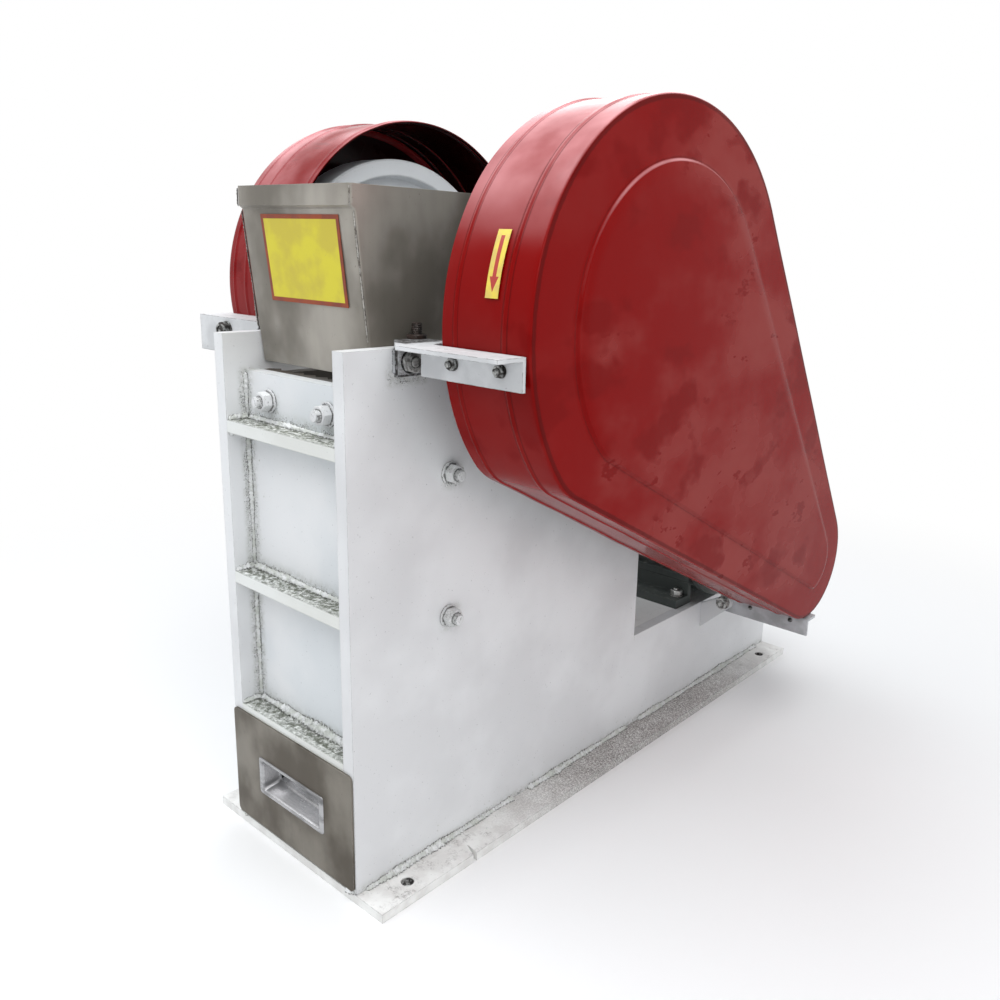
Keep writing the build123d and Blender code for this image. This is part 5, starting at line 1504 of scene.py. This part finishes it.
@dataclass(frozen=True)
class Hopper:
    """Feed hopper of stainless sheet: a collar that stands proud, and a chute down between the plates.

    Args:
        half_width: Half its width.
        top: Top of the collar.
        ledge: Foot of the collar.
        bottom: Foot of the chute.
        collar: Front and back depth of the collar.
        chute_top: Front and back depth of the chute under the collar.
        chute_foot: Front and back depth of the chute's foot.
        corner: Outer radius of the folded corners.
        sheet: Thickness of the sheet.
        wave: Unevenness of the front and back.
    """

    half_width: float = 0.091
    top: float = 0.706
    ledge: float = 0.684
    bottom: float = 0.530
    collar: Pair = (0.024, 0.212)
    chute_top: Pair = (0.028, 0.208)
    chute_foot: Pair = (0.0455, 0.168)
    corner: float = 0.0035
    sheet: float = 0.0015
    wave: Ripple = Ripple(31, 6, 0.22, 0.0005)

    def loop(self, span: Array, height: float, depth_in: float) -> Array:
        """Level loop of the hopper between a front and a back depth, moved in by a distance."""
        flat = round_loop(self.half_width - depth_in, (span[1] - span[0]) / 2 - depth_in, self.corner - depth_in)
        return spot(flat[:, 0], flat[:, 1] + sum(span) / 2, height)

    def skin(self, depth_in: float) -> Array:
        """Grid of points of one side of the sheet from the foot to the rim, gently bowed by smooth ripples.

        Args:
            depth_in: Distance in from the outer side, 0 or the sheet's thickness.

        Returns:
            The grid.
        """
        foot, knee, collar = (np.array(span) for span in (self.chute_foot, self.chute_top, self.collar))
        rows = [
            self.loop(foot * (1 - share) + knee * share, self.bottom * (1 - share) + self.ledge * share, depth_in)
            for share in np.linspace(0, 1, 20)
        ] + [
            self.loop(knee * (1 - share) + collar * share, self.ledge + 0.003 * share + depth_in * 0.4, depth_in)
            for share in np.linspace(0, 1, 4)[1:]
        ] + [self.loop(collar, height, depth_in) for height in np.linspace(self.ledge + 0.005, self.top, 6)]
        grid = np.stack(rows)
        across = np.clip(1 - np.abs(grid[..., 0]) / self.half_width, 0, 1)
        grid[..., 1] += self.wave.height(grid[..., 0], grid[..., 2]) * np.minimum(across * 4, 1)
        return grid

    def front(self, height: Array | float) -> Array | float:
        """Depth of the chute's outer front face at a height."""
        share = (height - self.bottom) / (self.ledge - self.bottom)
        return self.chute_foot[0] * (1 - share) + self.chute_top[0] * share

    def build(self, looks: Looks) -> None:
        """Makes the sheets and the rough bead down the front corners.

        Args:
            looks: Materials by the finish's name.
        """
        stock = Stock()
        stock.sheet(self.skin(0.0), self.skin(self.sheet), columns=())
        stock.piece("hopper_sheets", Body.FRAME, looks["stainless_sheet_painted_reflection"], "stainless", ("hopper",), sharp=35.0)
        seams = Stock()
        for side in (-1, 1):
            x = side * (self.half_width - 0.0008)
            chute = ((x, self.front(height) + 0.0008, height) for height in (0.683, 0.564))
            collar = ((x, 0.0248, height) for height in (0.704, 0.686))
            for ends, leg, seed in ((chute, 0.0013, 40), (collar, 0.0010, 50)):
                Weld(*ends, (0.3 * side, -1.0, 0.0), (side, -0.3, 0.0), leg, 0.0030).lay(seams, seed + side)
        seams.piece("hopper_seams", Body.FRAME, looks["seam_metal"], "stainless", sharp=70.0)


@dataclass(frozen=True)
class Thread:
    """Sizes of a bolt end.

    Args:
        stud_r: Radius of the stud.
        washer_r: Radius of the washer.
        washer: Thickness of the washer.
        corner_r: Radius over the nut's corners.
        nut: Height of the nut.
        pitch: Pitch of the thread.
    """

    stud_r: float
    washer_r: float
    washer: float
    corner_r: float
    nut: float
    pitch: float


M6 = Thread(0.0030, 0.0060, 0.0012, 0.0058, 0.0045, 0.0010)
M10 = Thread(0.0050, 0.0100, 0.0018, 0.0092, 0.0080, 0.0015)
M12 = Thread(0.0060, 0.0125, 0.0022, 0.0104, 0.0100, 0.0018)
M16 = Thread(0.0080, 0.0150, 0.0028, 0.0139, 0.0130, 0.0020)
THIN = Thread(0.0055, 0.0122, 0.0012, 0.0108, 0.0062, 0.0018)
HEAD = Thread(0.0052, 0.0106, 0.0005, 0.0112, 0.0070, 0.0040)
SMALL = Thread(0.0018, 0.0034, 0.0005, 0.0032, 0.0016, 0.0006)


@dataclass(frozen=True)
class Fastener:
    """Bolt end on a surface: flat washer, chamfered hexagon nut and threaded stud.

    Args:
        place: Point of the surface, as an X, a depth and a height.
        out: Direction away from it.
        thread: Its sizes.
        stand: Length of the stud over the surface.
        turn: Turn of the hexagon in degrees.
    """

    place: Point
    out: Point
    thread: Thread
    stand: float
    turn: float

    # Points round the washer, the nut and the stud, the run to rise of the nut's chamfer, its end's
    # radius as a share of the flat's distance, and the thread's depth as a share of the pitch.
    COLUMNS = (36, 48, 24)
    CHAMFER = 1.7
    NUT_END = 0.96
    THREAD_DEPTH = 0.6

    def rings(self, stock: Stock, rows: list[tuple[Array | float, Array | float, float]], columns: int) -> None:
        """Adds rows of rings, each of a radius, a height over the surface and a share of painted shade and dirt.

        Args:
            stock: Stock that gets them.
            rows: Radius, height and share of painted shade and dirt of each ring.
            columns: Count of points round each.
        """
        out = np.array(self.out)
        aside = np.cross(out, UP if abs(out[2]) < 0.5 else RIGHT)
        angles = np.arange(columns) / columns * 2 * math.pi + math.radians(self.turn)
        circle = np.cos(angles)[:, None] * aside + np.sin(angles)[:, None] * np.cross(out, aside)
        grid = [
            spot(*self.place) + circle * np.broadcast_to(radius, columns)[:, None] + out * height
            for radius, height, _ in rows
        ]
        stock.grid(np.stack(grid), wrap=True, shade_and_dirt=np.array([[row[2]] for row in rows]))

    def add(self, stock: Stock) -> None:
        """Adds the bolt end to a stock.

        The nut's radius by angle is the smaller of a hexagon, which is its flat's distance over the
        cosine of the angle off the flat's normal, and a cone that widens by 1.7 to 1 from either
        end. The stud's radius loses up to six tenths of a pitch in a triangle wave that climbs one
        pitch a turn. Painted shade and dirt lie where the parts meet and in the thread.

        Args:
            stock: Stock that gets the bolt end.
        """
        t = self.thread
        washer_n, nut_n, stud_n = self.COLUMNS
        gap = min(0.0005, t.washer * 0.4)
        top = t.washer + t.nut
        self.rings(stock, [
            (t.stud_r, 0, 1.0), (t.washer_r - gap / 2, 0, 1.0), (t.washer_r, gap / 2, 0.8),
            (t.washer_r, t.washer - gap / 2, 0.1), (t.washer_r - gap / 2, t.washer, 0.0),
            (t.corner_r * 1.04, t.washer, 0.55), (t.stud_r, t.washer, 1.0),
        ], washer_n)
        angles = np.arange(nut_n) / nut_n * 2 * math.pi
        flat = t.corner_r * math.cos(math.pi / 6)
        hexagon = flat / np.cos((angles + math.pi / 6) % (math.pi / 3) - math.pi / 6)
        end = flat * self.NUT_END
        reach = (t.corner_r - end) / self.CHAMFER
        cone = {share: np.minimum(hexagon, end + self.CHAMFER * reach * share) for share in np.linspace(0, 1, 5)}
        rows = [(t.stud_r, t.washer, 1.0), (cone[0.0], t.washer, 0.9)]
        rows += [(cone[share], t.washer + reach * share, 0.75 - 0.6 * share) for share in list(cone)[1:]]
        rows += [(cone[share], top - reach * share, 0.15 * share) for share in reversed(cone)]
        rows += [(t.stud_r * 1.18, top, 0.35), (t.stud_r, top, 1.0)]
        self.rings(stock, rows, nut_n)
        foot = top - t.pitch
        turns = np.arange(stud_n) / stud_n
        rows = []
        for level in np.linspace(foot, self.stand - gap * 1.4, max(4, int((self.stand - foot) / t.pitch * 5))):
            wave = np.abs(2 * ((level / t.pitch - turns) % 1.0) - 1)
            fresh = float(np.clip((level - foot) / t.pitch, 0.1, 1))
            rows.append((t.stud_r - self.THREAD_DEPTH * t.pitch * wave * fresh, level, 1.0 - 0.6 * fresh))
        tip = self.stand + gap / 4
        rows += [(t.stud_r - gap * 1.8, self.stand, 0.1), (t.stud_r * 0.5, tip, 0.25), (0.0, tip, 0.25)]
        self.rings(stock, rows, stud_n)


# Bolt ends of every bolt node: the finish, then by direction, size and stand the place and turn of each.
BOLTS = {
    "cheek_bolts_right": ("white_paint", (
        (RIGHT, M12, 0.018, [(PLATE_X, *place, turn) for place, turn in zip(CHEEK_BOLTS, (9, 26))]),
    )),
    "cheek_bolts_left": ("white_paint", (
        (LEFT, M12, 0.018, [(-PLATE_X, *place, turn) for place, turn in zip(CHEEK_BOLTS, (31, 4))]),
    )),
    "jaw_bolts": ("white_paint", ((FRONT, M12, 0.018, ((-0.05, WALL, 0.493, 12), (0.05, WALL, 0.493, 37))),)),
    "bearing_bolts": ("casting_paint", (
        (UP, M16, 0.020, [(x, depth, 0.546, 17 + 400 * x) for x in (-0.101, 0.101) for depth in (0.203, 0.359)]),
    )),
    "motor_bolts": ("zinc_bolts", (
        (UP, M10, 0.012, [(x, depth, 0.149, 23 + 170 * x) for x in (0.084, -0.041) for depth in (0.620, 0.760)]),
    )),
    "bracket_bolts": ("bracket_bolts", (
        (FRONT, M6, 0.009, ((0.190, 0.0572, 0.554, 11), (0.248, 0.0572, 0.554, 34))),
        (FRONT, M10, 0.009, ((-0.176, 0.055, 0.554, 8),)),
        (FRONT, SMALL, 0.003, ((0.188, 0.660, 0.1472, 20), (0.252, 0.660, 0.1472, 47))),
    )),
    "clamp_bolts": ("burnt_bolts", ((UP, THIN, 0.0185, ((0.104, 0.090, 0.564, 16), (-0.104, 0.125, 0.564, 3))),)),
    "adjusting_bolts": ("zinc_bolts", ((BACK, M16, 0.034, ((-0.04, 0.478, 0.262, 6), (0.04, 0.478, 0.262, 29))),)),
    "painted_bracket_bolts": ("cleat_bolt_painted_light", (
        (RIGHT, HEAD, 0.0077, ((0.1125, 0.0745, 0.547, 14),)), (FRONT, M10, 0.0110, ((0.147, 0.654, 0.146, 5),)),
    )),
}


class BoltEnds:
    """Nuts, washers and threads of all bolts."""

    def build(self, looks: Looks) -> None:
        """Makes the bolt ends, one piece to a bolt node and one of their own for the painted ones.

        Args:
            looks: Materials by the finish's name.
        """
        for name, (finish, groups) in BOLTS.items():
            stock = Stock()
            for out, thread, stand, places in groups:
                for *place, turn in places:
                    Fastener(tuple(place), out, thread, stand, turn).add(stock)
            label, nodes = (f"{name}_ends", (name,)) if name in NODES else (name, ())
            stock.piece(label, Body.FRAME, looks[finish], "fastener_steel", nodes, sharp=28.0)


@dataclass(frozen=True)
class FrameWelds:
    """Weld beads on the frame and the brackets, with a little spatter beside them.

    Args:
        feet: Start and end depth of each bead along the base plate.
        seams: Foot and top height of each bead down the front wall.
        rib_legs: Size of the bead over each rib.
    """

    feet: tuple[Pair, ...] = ((0.012, 0.235), (0.262, 0.468), (0.498, 0.842))
    seams: tuple[Pair, ...] = ((0.147, 0.288), (0.305, 0.455), (0.472, 0.519))
    rib_legs: tuple[float, ...] = (0.0036, 0.0044, 0.0062)

    # Domes on each side plate, on each half of the front wall and on the base plate.
    SPATTER = (46, 26, 40)

    def frame_beads(self) -> Iterator[Weld]:
        """Beads on the plates, in the order of their random numbers.

        Returns:
            One bead after another.
        """
        for side, out, inward in ((1, RIGHT, LEFT), (-1, LEFT, RIGHT)):
            face, inner = side * PLATE_X, side * INNER_X
            for start, end in self.feet:
                yield Weld((face, start, 0), (face, end, 0), out, UP, 0.0048)
            for foot in RIBS:
                for height, way, leg in ((foot + RIB, UP, 0.0040), (foot, DOWN, 0.0035)):
                    yield Weld((inner, 0.001, height), (inner, 0.024, height), inward, way, leg)
            for low, high in self.seams:
                yield Weld((inner, WALL, low), (inner, WALL, high), inward, FRONT, 0.0031)
            yield Weld((face - side * 0.001, 0.006, 0), (face - side * 0.015, 0.0, 0), FRONT, UP, 0.0045)
        for foot, leg in zip(RIBS, self.rib_legs):
            yield Weld((-0.088, WALL, foot + RIB), (0.088, WALL, foot + RIB), FRONT, UP, leg)
        yield Weld((-0.088, 0.478, 0.136), (0.088, 0.478, 0.136), BACK, UP, 0.0045)
        for x in (0.109, 0.1125):
            yield Weld((x, 0.660, 0.100), (x, 0.660, 0.131), RIGHT, BACK, 0.0030)

    def bracket_beads(self) -> Iterator[Weld]:
        """Beads on the brackets, in the order of their random numbers.

        Returns:
            One bead after another.
        """
        yield Weld((0.1125, 0.0585, 0.5635), (0.1125, 0.0735, 0.5635), RIGHT, DOWN, 0.0028)
        yield Weld((0.148, 0.0572, 0.564), (0.170, 0.0572, 0.564), FRONT, DOWN, 0.0022)
        yield Weld((PLATE_X, 0.058, 0.536), (PLATE_X, 0.058, 0.560), RIGHT, FRONT, 0.0026)
        yield Weld((-PLATE_X, 0.055, 0.530), (-PLATE_X, 0.055, 0.564), LEFT, FRONT, 0.0035)

    def spatter(self) -> Stock:
        """Small domes scattered near the seams, each a sphere flattened on its face.

        Returns:
            Stock of the domes.
        """
        chance = np.random.default_rng(7)
        plate_n, wall_n, base_n = self.SPATTER
        spots = []
        for side in (-1, 1):
            for depth in chance.uniform(0.02, 0.84, plate_n):
                spots.append(((side * PLATE_X, depth, 0.005 + abs(chance.normal(0, 0.012))), (side, 0, 0)))
            for height in chance.uniform(0.15, 0.51, wall_n):
                spots.append(((side * (INNER_X - 0.006 - abs(chance.normal(0, 0.008))), WALL, height), FRONT))
        for depth in chance.uniform(0.02, 0.84, base_n):
            spots.append(((PLATE_X + 0.006 + abs(chance.normal(0, 0.010)), depth, 0.0), UP))
        stock = Stock()
        turn = np.linspace(0, 2 * math.pi, 9)[:-1, None]
        rise = np.linspace(-0.2, math.pi / 2, 5)[:, None, None]
        for place, out in spots:
            size = chance.uniform(0.0005, 0.0011)
            out = np.array(out, dtype=float)
            aside = np.cross(out, (0.3, 0.5, 0.8))
            aside /= np.linalg.norm(aside)
            circle = np.cos(turn) * aside + np.sin(turn) * np.cross(out, aside)
            stock.grid(spot(*place) + size * (np.cos(rise) * circle + 0.7 * np.sin(rise) * out), wrap=True)
        return stock

    def build(self, looks: Looks) -> None:
        """Makes the beads and the spatter.

        Args:
            looks: Materials by the finish's name.
        """
        for name, beads, seed, finish, slot in (
            ("frame_welds", self.frame_beads(), 100, "weld_paint", "white_paint"),
            ("bracket_welds", self.bracket_beads(), 201, "rear_bracket_paint", "grey_paint"),
        ):
            stock = Stock()
            for number, weld in enumerate(beads, seed):
                weld.lay(stock, number)
            stock.piece(name, Body.FRAME, looks[finish], slot, sharp=75.0)
        self.spatter().piece("weld_spatter", Body.FRAME, looks["weld_paint"], "white_paint", sharp=80.0)


def turned(profile: list[Pair], axle: Pair, columns: int) -> Stock:
    """Stock with a piece turned about a level axle along X, by the cosine and sine of the angle.

    Args:
        profile: Points (x, radius) of its closed section.
        axle: Depth and height of the axle.
        columns: Count of points round the axle.

    Returns:
        The stock.
    """
    section = np.array((*profile, profile[0]))
    sides = section[:, 1][:, None, None] * unit(np.arange(columns) / columns * 2 * math.pi)
    stock = Stock()
    stock.grid(spot(section[:, :1], axle[0] + sides[..., 0], axle[1] + sides[..., 1]), wrap=True)
    return stock


@dataclass(frozen=True)
class Flywheel:
    """Flywheel with a rim, a web and a hub, chamfered and filleted.

    Args:
        middle: X of the web's middle.
        half: Half width of the rim.
        rim: Outer radius of the rim.
        low: Inner radius of the rim.
        web: Half thickness of the web.
        hub: How far the hub reaches out and in from the middle.
    """

    middle: float = -0.1665
    half: float = 0.0215
    rim: float = 0.173
    low: float = 0.153
    web: float = 0.007
    hub: Pair = (0.0315, 0.0355)

    def side(self, way: int, hub: float) -> list[Pair]:
        """Section of one side, from the rim down the web to the end of the hub.

        Args:
            way: 1 or -1, the side along X.
            hub: How far the hub reaches from the middle.

        Returns:
            Points (x, radius).
        """
        return [(self.middle + way * x, radius) for x, radius in (
            (self.half - 0.0015, self.rim), (self.half, self.rim - 0.0015), (self.half, self.low + 0.0015),
            (self.half - 0.0012, self.low), (self.web + 0.006, self.low - 0.0005),
            (self.web + 0.0018, self.low - 0.0025), (self.web, self.low - 0.008), (self.web, 0.046),
            (self.web + 0.0018, 0.0405), (self.web + 0.007, 0.038), (hub - 0.0012, 0.038), (hub, 0.0368),
            (hub, 0.0181),
        )]

    def build(self, looks: Looks) -> None:
        """Makes the flywheel.

        Args:
            looks: Materials by the finish's name.
        """
        profile = self.side(-1, self.hub[0]) + self.side(1, self.hub[1])[::-1]
        stock = turned(profile, SHAFT, 160)
        stock.piece("turned_flywheel", Body.ROTOR, looks["flywheel_paint_painted_light"], "cast_iron", ("flywheel",), sharp=32.0)


@dataclass(frozen=True)
class FanCowl:
    """Cowl of the motor's fan, with ring-shaped slots in its end.

    Args:
        axle: Depth and height of the motor's shaft.
        shell: Points (x, radius) from its front to its end.
        slots: Middle radius of each slot.
        floor: X of the slots' floor.
    """

    axle: Pair = (0.690, 0.226)
    shell: tuple[Pair, ...] = (
        (-0.095, 0.0), (-0.095, 0.0812), (-0.0955, 0.082), (-0.1455, 0.082), (-0.1478, 0.0814), (-0.1562, 0.0728),
        (-0.157, 0.0708),
    )
    slots: tuple[float, ...] = (0.064, 0.054, 0.044, 0.034, 0.024)
    floor: float = -0.1545

    def build(self, looks: Looks) -> None:
        """Makes the cowl.

        Args:
            looks: Materials by the finish's name.
        """
        end = self.shell[-1][0]
        slots = [
            (x, radius + half) for radius in self.slots
            for x, half in ((end, 0.003), (self.floor, 0.0028), (self.floor, -0.0028), (end, -0.003))
        ]
        stock = turned([*self.shell, *slots, (end, 0.0)], self.axle, 96)
        stock.piece("turned_cowl", Body.FRAME, looks["motor_paint"], "motor_paint", ("motor_fan_cowl",), sharp=32.0)


@dataclass(frozen=True)
class DrawerPull:
    """Flush pull: a thin rounded rim and a cup whose walls slope in.

    Args:
        half: Half width and height of the rim.
        height: Height of its middle.
        floor: Depth of the cup's floor.
        rows: Inset, further inset of the height, and depth of each loop.
    """

    half: Pair = (0.059, 0.022)
    height: float = 0.071
    floor: float = 0.015
    rows: tuple[Point, ...] = (
        (0.0, 0.0, -0.0023), (0.0003, 0.0, -0.0031), (0.0010, 0.0, -0.0037), (0.0024, 0.0, -0.0038),
        (0.0060, 0.0003, -0.0037), (0.0066, 0.0008, -0.0030), (0.0072, 0.0014, -0.0010), (0.0105, 0.0046, 0.0120),
        (0.0118, 0.0060, 0.0142), (0.0150, 0.0090, 0.0148), (0.0400, 0.0180, 0.0150),
    )

    def build(self, looks: Looks) -> None:
        """Makes the pull as round rectangles that shrink into the cup and close on its middle.

        Args:
            looks: Materials by the finish's name.
        """
        grid = []
        for inset, more, depth in self.rows:
            half_y = self.half[1] - inset * 0.45 - more
            flat = round_loop(self.half[0] - inset, half_y, min(0.003, half_y * 0.9))
            grid.append(spot(flat[:, 0], depth, self.height + flat[:, 1]))
        grid.append(np.broadcast_to(spot(0.0, self.floor, self.height), grid[0].shape))
        stock = Stock()
        stock.grid(np.stack(grid), wrap=True)
        stock.piece("drawer_pull", Body.DRAWER, looks["pull_chrome"], "pull_chrome", ("drawer_handle",))


@dataclass(frozen=True)
class Signs:
    """Bare notice plate on the hopper and arrow label on the guard's rim.

    Args:
        notice: Lowest and highest X, then height, of the notice.
        label: The same of the arrow label.
        rim_r: Radius that the label's face lies on.
        stand: Mean distance of the notice's face from the chute.
        wave: Unevenness of the notice.
    """

    notice: tuple[Pair, Pair] = ((-0.056, 0.069), (0.595, 0.679))
    label: tuple[Pair, Pair] = ((0.221, 0.236), (0.613, 0.670))
    rim_r: float = 0.2196
    stand: float = 0.0010
    wave: Ripple = Ripple(61, 4, 0.2, 0.0004)

    def build(self, looks: Looks) -> None:
        """Makes both: the notice a little wavy over the chute, the label bent along the rim's circle.

        Args:
            looks: Materials by the finish's name.
        """
        across, up = np.meshgrid(np.linspace(*self.notice[0], 16), np.linspace(*self.notice[1], 12), indexing="ij")
        face = spot(across, Hopper().front(up) - self.stand - self.wave.height(across, up), up)
        across, up = np.meshgrid(np.linspace(*self.label[0], 6), np.linspace(*self.label[1], 24), indexing="ij")
        bent = spot(across, SHAFT[0] - np.sqrt(self.rim_r ** 2 - (up - SHAFT[1]) ** 2), up)
        for name, outer, thick, finish, slot in (
            ("notice_plate", face, 0.0005, "notice_foil", "stainless"),
            ("arrow_label", bent, 0.0004, "arrow_foil", "red_paint"),
        ):
            stock = Stock()
            stock.sheet(outer, outer + np.array((0.0, thick, 0.0)))
            stock.piece(name, Body.FRAME, looks[finish], slot)


@dataclass(frozen=True)
class Stage:
    """Pale floor and the white surroundings.

    Args:
        reach: Half width of the floor.
        fade: Distances from its middle between which it fades to plain white.
        sky: Colour of the light that the surroundings give.
        strength: Strength of that light.
    """

    reach: float = 9.0
    fade: Pair = (0.55, 1.5)
    sky: Colour = (0.93, 0.96, 1.0)
    strength: float = 0.50

    def seen(self, desk: NodeDesk) -> Socket:
        """Mask of the rays that show the background itself."""
        rays = desk.add("ShaderNodeLightPath").outputs
        return desk.most(*(rays[name] for name in ("Is Camera Ray", "Is Glossy Ray", "Is Transmission Ray")))

    def lay_floor(self) -> None:
        """Makes the floor, which fades to plain white away from the machine."""
        ticks = np.linspace(-self.reach, self.reach, 3)
        x, y = np.meshgrid(ticks, ticks, indexing="ij")
        stock = Stock()
        stock.grid(np.stack((x, y, np.zeros_like(x)), -1))
        mesh = bpy.data.meshes.new("floor")
        mesh.from_pydata(stock.points[0].tolist(), [], stock.quads[0].tolist())
        floor = bpy.data.objects.new("floor", mesh)
        bpy.context.scene.collection.objects.link(floor)
        desk = Surface("floor_white")
        desk.shader.inputs["Base Color"].default_value = (0.90, 0.90, 0.90, 1.0)
        desk.shader.inputs["Roughness"].default_value = 0.9
        far = desk.ramp(desk.vector("LENGTH", desk.place), *self.fade)
        glow = desk.add("ShaderNodeEmission", Color=(1.0, 1.0, 1.0), Strength=1.0).outputs[0]
        mixed = desk.add("ShaderNodeMixShader", None, {
            0: desk.times(far, self.seen(desk)), 1: desk.shader.outputs[0], 2: glow
        })
        desk.feed(desk.tree.nodes["Material Output"].inputs["Surface"], mixed.outputs[0])
        mesh.materials.append(desk.material)

    def surround(self) -> None:
        """Makes the world, plain white where it is seen and softer where it lights."""
        world = bpy.data.worlds.new("surroundings")
        bpy.context.scene.world = world
        world.use_nodes = True
        desk = NodeDesk(world.node_tree)
        seen = self.seen(desk)
        background = world.node_tree.nodes["Background"].inputs
        desk.feed(background["Color"], desk.mix(seen, self.sky, (1.0, 1.0, 1.0)))
        desk.feed(background["Strength"], desk.blend(seen, self.strength, 1.0))


def turn_to(holder: bpy.types.Object, back: Array, roll: float = 0.0) -> None:
    """Turns a lamp or camera about its place and adds it to the scene.

    Its third axis points back from what it looks at, and its first is level, then both others are
    turned by the roll.

    Args:
        holder: Object of the lamp or camera.
        back: Direction away from what it looks at.
        roll: Roll in radians.
    """
    back = back / np.linalg.norm(back)
    level = np.cross(UP, back)
    level = level / np.linalg.norm(level)
    over = np.cross(back, level)
    right = math.cos(roll) * level + math.sin(roll) * over
    up = math.cos(roll) * over - math.sin(roll) * level
    holder.rotation_mode = "QUATERNION"
    holder.rotation_quaternion = Matrix(np.stack((right, up, back), -1).tolist()).to_quaternion()
    bpy.context.scene.collection.objects.link(holder)


@dataclass(frozen=True)
class SoftLamp:
    """Large soft lamp over the machine.

    Args:
        name: Its name.
        place: Its place.
        aim: Point that it shines at.
        size: Side of its square.
        power: Its power in watts.
        colour: Its colour.
    """

    name: str
    place: Point
    aim: Point
    size: float
    power: float
    colour: Colour = (1.0, 1.0, 1.0)

    def hang(self) -> None:
        """Adds the lamp to the scene."""
        lamp = bpy.data.lights.new(self.name, "AREA")
        lamp.size, lamp.energy, lamp.color = self.size, self.power, self.colour
        holder = bpy.data.objects.new(self.name, lamp)
        holder.location = self.place
        turn_to(holder, np.array(self.place) - np.array(self.aim))


@dataclass(frozen=True)
class PhotoCamera:
    """Camera at the photograph's place.

    Args:
        place: Its place.
        azimuth: Degrees to the right of the machine's front.
        elevation: Degrees above level.
        roll: Degrees of roll.
        lens: Focal length in millimetres.
        sensor: Width of the sensor in millimetres.
        shift: Framing shift across and up.
    """

    place: Point = (0.7756, -0.9306, 0.6678)
    azimuth: float = 39.7783
    elevation: float = 13.7993
    roll: float = 1.8668
    lens: float = 32.85
    sensor: float = 36.0
    shift: Pair = (-0.0600, -0.0300)

    def set_up(self) -> None:
        """Adds the camera and makes it the scene's own."""
        data = bpy.data.cameras.new("photo_camera")
        data.sensor_width, data.lens = self.sensor, self.lens
        data.shift_x, data.shift_y = self.shift
        camera = bpy.data.objects.new("photo_camera", data)
        azimuth, elevation, roll = map(math.radians, (self.azimuth, self.elevation, self.roll))
        level = math.cos(elevation)
        camera.location = self.place
        turn_to(camera, np.array((math.sin(azimuth) * level, -math.cos(azimuth) * level, math.sin(elevation))), roll)
        bpy.context.scene.camera = camera


LAMPS = (
    SoftLamp("sky_lamp", (-0.7, -1.2, 2.8), (0.0, 0.0, 0.4), 2.4, 51.0, (0.96, 0.98, 1.0)),
    SoftLamp("top_lamp", (0.9, -0.3, 2.2), (0.0, -0.1, 0.5), 0.9, 11.0),
    SoftLamp("side_lamp", (1.7, -1.5, 1.9), (0.0, 0.0, 0.4), 1.4, 14.5, (1.0, 0.99, 0.98)),
    SoftLamp("low_lamp", (2.4, 0.4, 0.6), (0.0, 0.0, 0.3), 1.2, 3.5, (1.0, 0.99, 0.98)),
    SoftLamp("back_lamp", (-1.8, 2.2, 1.8), (0.0, 0.0, 0.4), 1.8, 16.0),
)


def main() -> None:
    """Sets up the view, then dresses and builds the machine piece by piece."""
    logging.basicConfig(level=logging.INFO, format="%(message)s")
    bpy.context.scene.view_settings.view_transform = "Standard"
    PhotoCamera().set_up()
    for lamp in LAMPS:
        lamp.hang()
    stage = Stage()
    stage.lay_floor()
    stage.surround()
    looks = {finish.name: finish.material() for finish in FINISHES}
    for finish, nodes in DRESSED.items():
        for node in nodes:
            dress(node, looks[finish])
    for part in (
        BeltGuard(), FlywheelHood(), Hopper(), BoltEnds(), FrameWelds(), Flywheel(), FanCowl(), DrawerPull(), Signs()
    ):
        part.build(looks)


if __name__ == "__main__":
    main()
